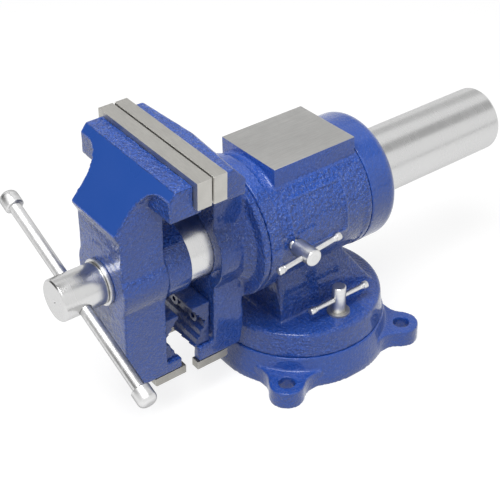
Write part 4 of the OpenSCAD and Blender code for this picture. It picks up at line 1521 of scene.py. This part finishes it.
@dataclass(frozen=True)
class Studio:
    """Camera, floor, world, lamps and cards."""

    azimuth: float = 52.94
    elevation: float = 34.78
    roll: float = -1.09
    distance: float = 977.5 * MM
    lens: float = 87.45
    sensor: float = 36.0
    clip: Pair = (0.05, 30.0)
    target: Triple = (12.43 * MM, -60.50 * MM, 119.03 * MM)
    floor_side: float = 8.0
    floor_drop: float = 0.3 * MM
    world_level: float = 0.21
    floor_tone: float = 0.28
    floor_glow: float = 0.82
    lamps: tuple[Lamp, ...] = (
        Lamp("top_box", 33, 66, 1.6, 0.9, 26.0),
        Lamp("side_box", 88, 28, 1.8, 1.4, 6.5, mirrored=False),
    )
    cards: tuple[Card, ...] = (
        Card("left_card", 148, -42, 3.0, 2.4, 2.6, 0.06),
        Card("ceiling_card", 90, -12, 3.0, 2.8, 2.8, 0.22),
        Card("upper_card", 139, 34, 3.0, 1.3, 2.8, 0.66),
        Card("middle_card", 66, 34, 3.0, 1.3, 2.8, 0.48),
        Card("low_card", -8, 34, 1.5, 0.25, 1.6, 0.55),
    )

    def build(self) -> None:
        """Builds the studio."""
        self._camera()
        self._floor()
        self._world()
        for fixture in self.lamps + self.cards:
            fixture.build(Vector(self.target))
        bpy.context.scene.view_settings.view_transform = "Standard"

    def _camera(self) -> None:
        """Places the camera as the photograph was taken."""
        back = outward(self.azimuth, self.elevation)
        data = bpy.data.cameras.new("camera")
        data.lens = self.lens
        data.sensor_width = self.sensor
        data.clip_start, data.clip_end = self.clip
        obj = bpy.data.objects.new("camera", data)
        level = (-back).to_track_quat("-Z", "Y").to_matrix().to_4x4()
        turn = Matrix.Rotation(math.radians(self.roll), 4, "Z")
        obj.matrix_world = Matrix.Translation(Vector(self.target) + back * self.distance) @ level @ turn
        bpy.context.scene.collection.objects.link(obj)
        bpy.context.scene.camera = obj

    @staticmethod
    def _seen(graph: NodeGraph) -> NodeSocket:
        """1 for rays that show the background itself, straight, mirrored or through glass.

        Args:
            graph: the tree that is written to.

        Returns:
            The mask's socket.
        """
        rays = graph.add("LightPath").outputs
        direct = graph.math("MAXIMUM", rays["Is Camera Ray"], rays["Is Glossy Ray"])
        return graph.math("MAXIMUM", direct, rays["Is Transmission Ray"])

    def _floor(self) -> None:
        """A pale floor that keeps the vise's shadow."""
        surface = Surface("pale_floor")
        tone = (self.floor_tone, self.floor_tone, self.floor_tone, 1.0)
        matte = surface.add("BsdfDiffuse", {"Color": tone})
        glow = surface.times(self._seen(surface), self.floor_glow)
        light = surface.add("Emission", {"Color": WHITE, "Strength": glow})
        both = surface.add("AddShader", {0: matte.outputs[0], 1: light.outputs[0]})
        size = Matrix.Diagonal((self.floor_side, self.floor_side, 1, 1))
        stage_sheet("floor", Matrix.Translation((0, 0, -self.floor_drop)) @ size, surface.lit_by(both))

    def _world(self) -> None:
        """A white surround that lights the vise evenly."""
        world = bpy.data.worlds.new("white_tent")
        bpy.context.scene.world = world
        world.use_nodes = True
        graph = NodeGraph(world.node_tree)
        shown = graph.times(self._seen(graph), 1.0 - self.world_level)
        level = graph.math("ADD", shown, self.world_level)
        graph.feed(world.node_tree.nodes["Background"], {"Color": WHITE, "Strength": level})


def main() -> None:
    """Builds the vise and the studio."""
    logging.basicConfig(level=logging.INFO, format="%(message)s")
    finishes = Finishes(EffectGroups())
    low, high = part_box("ram_tube")
    head = HeadFrame((low.z + high.z) / 2)
    Base(finishes).build()
    ViseBody(finishes).build()
    HeadLock(finishes).build()
    SwivelLock(finishes).build()
    StaticJaw(finishes, head).build()
    MovingJaw(finishes, head).build()
    Ram(finishes, head).build()
    Spindle(finishes).build()
    Handle(finishes).build()
    Fittings(finishes).build()
    Studio().build()


if __name__ == "__main__":
    main()
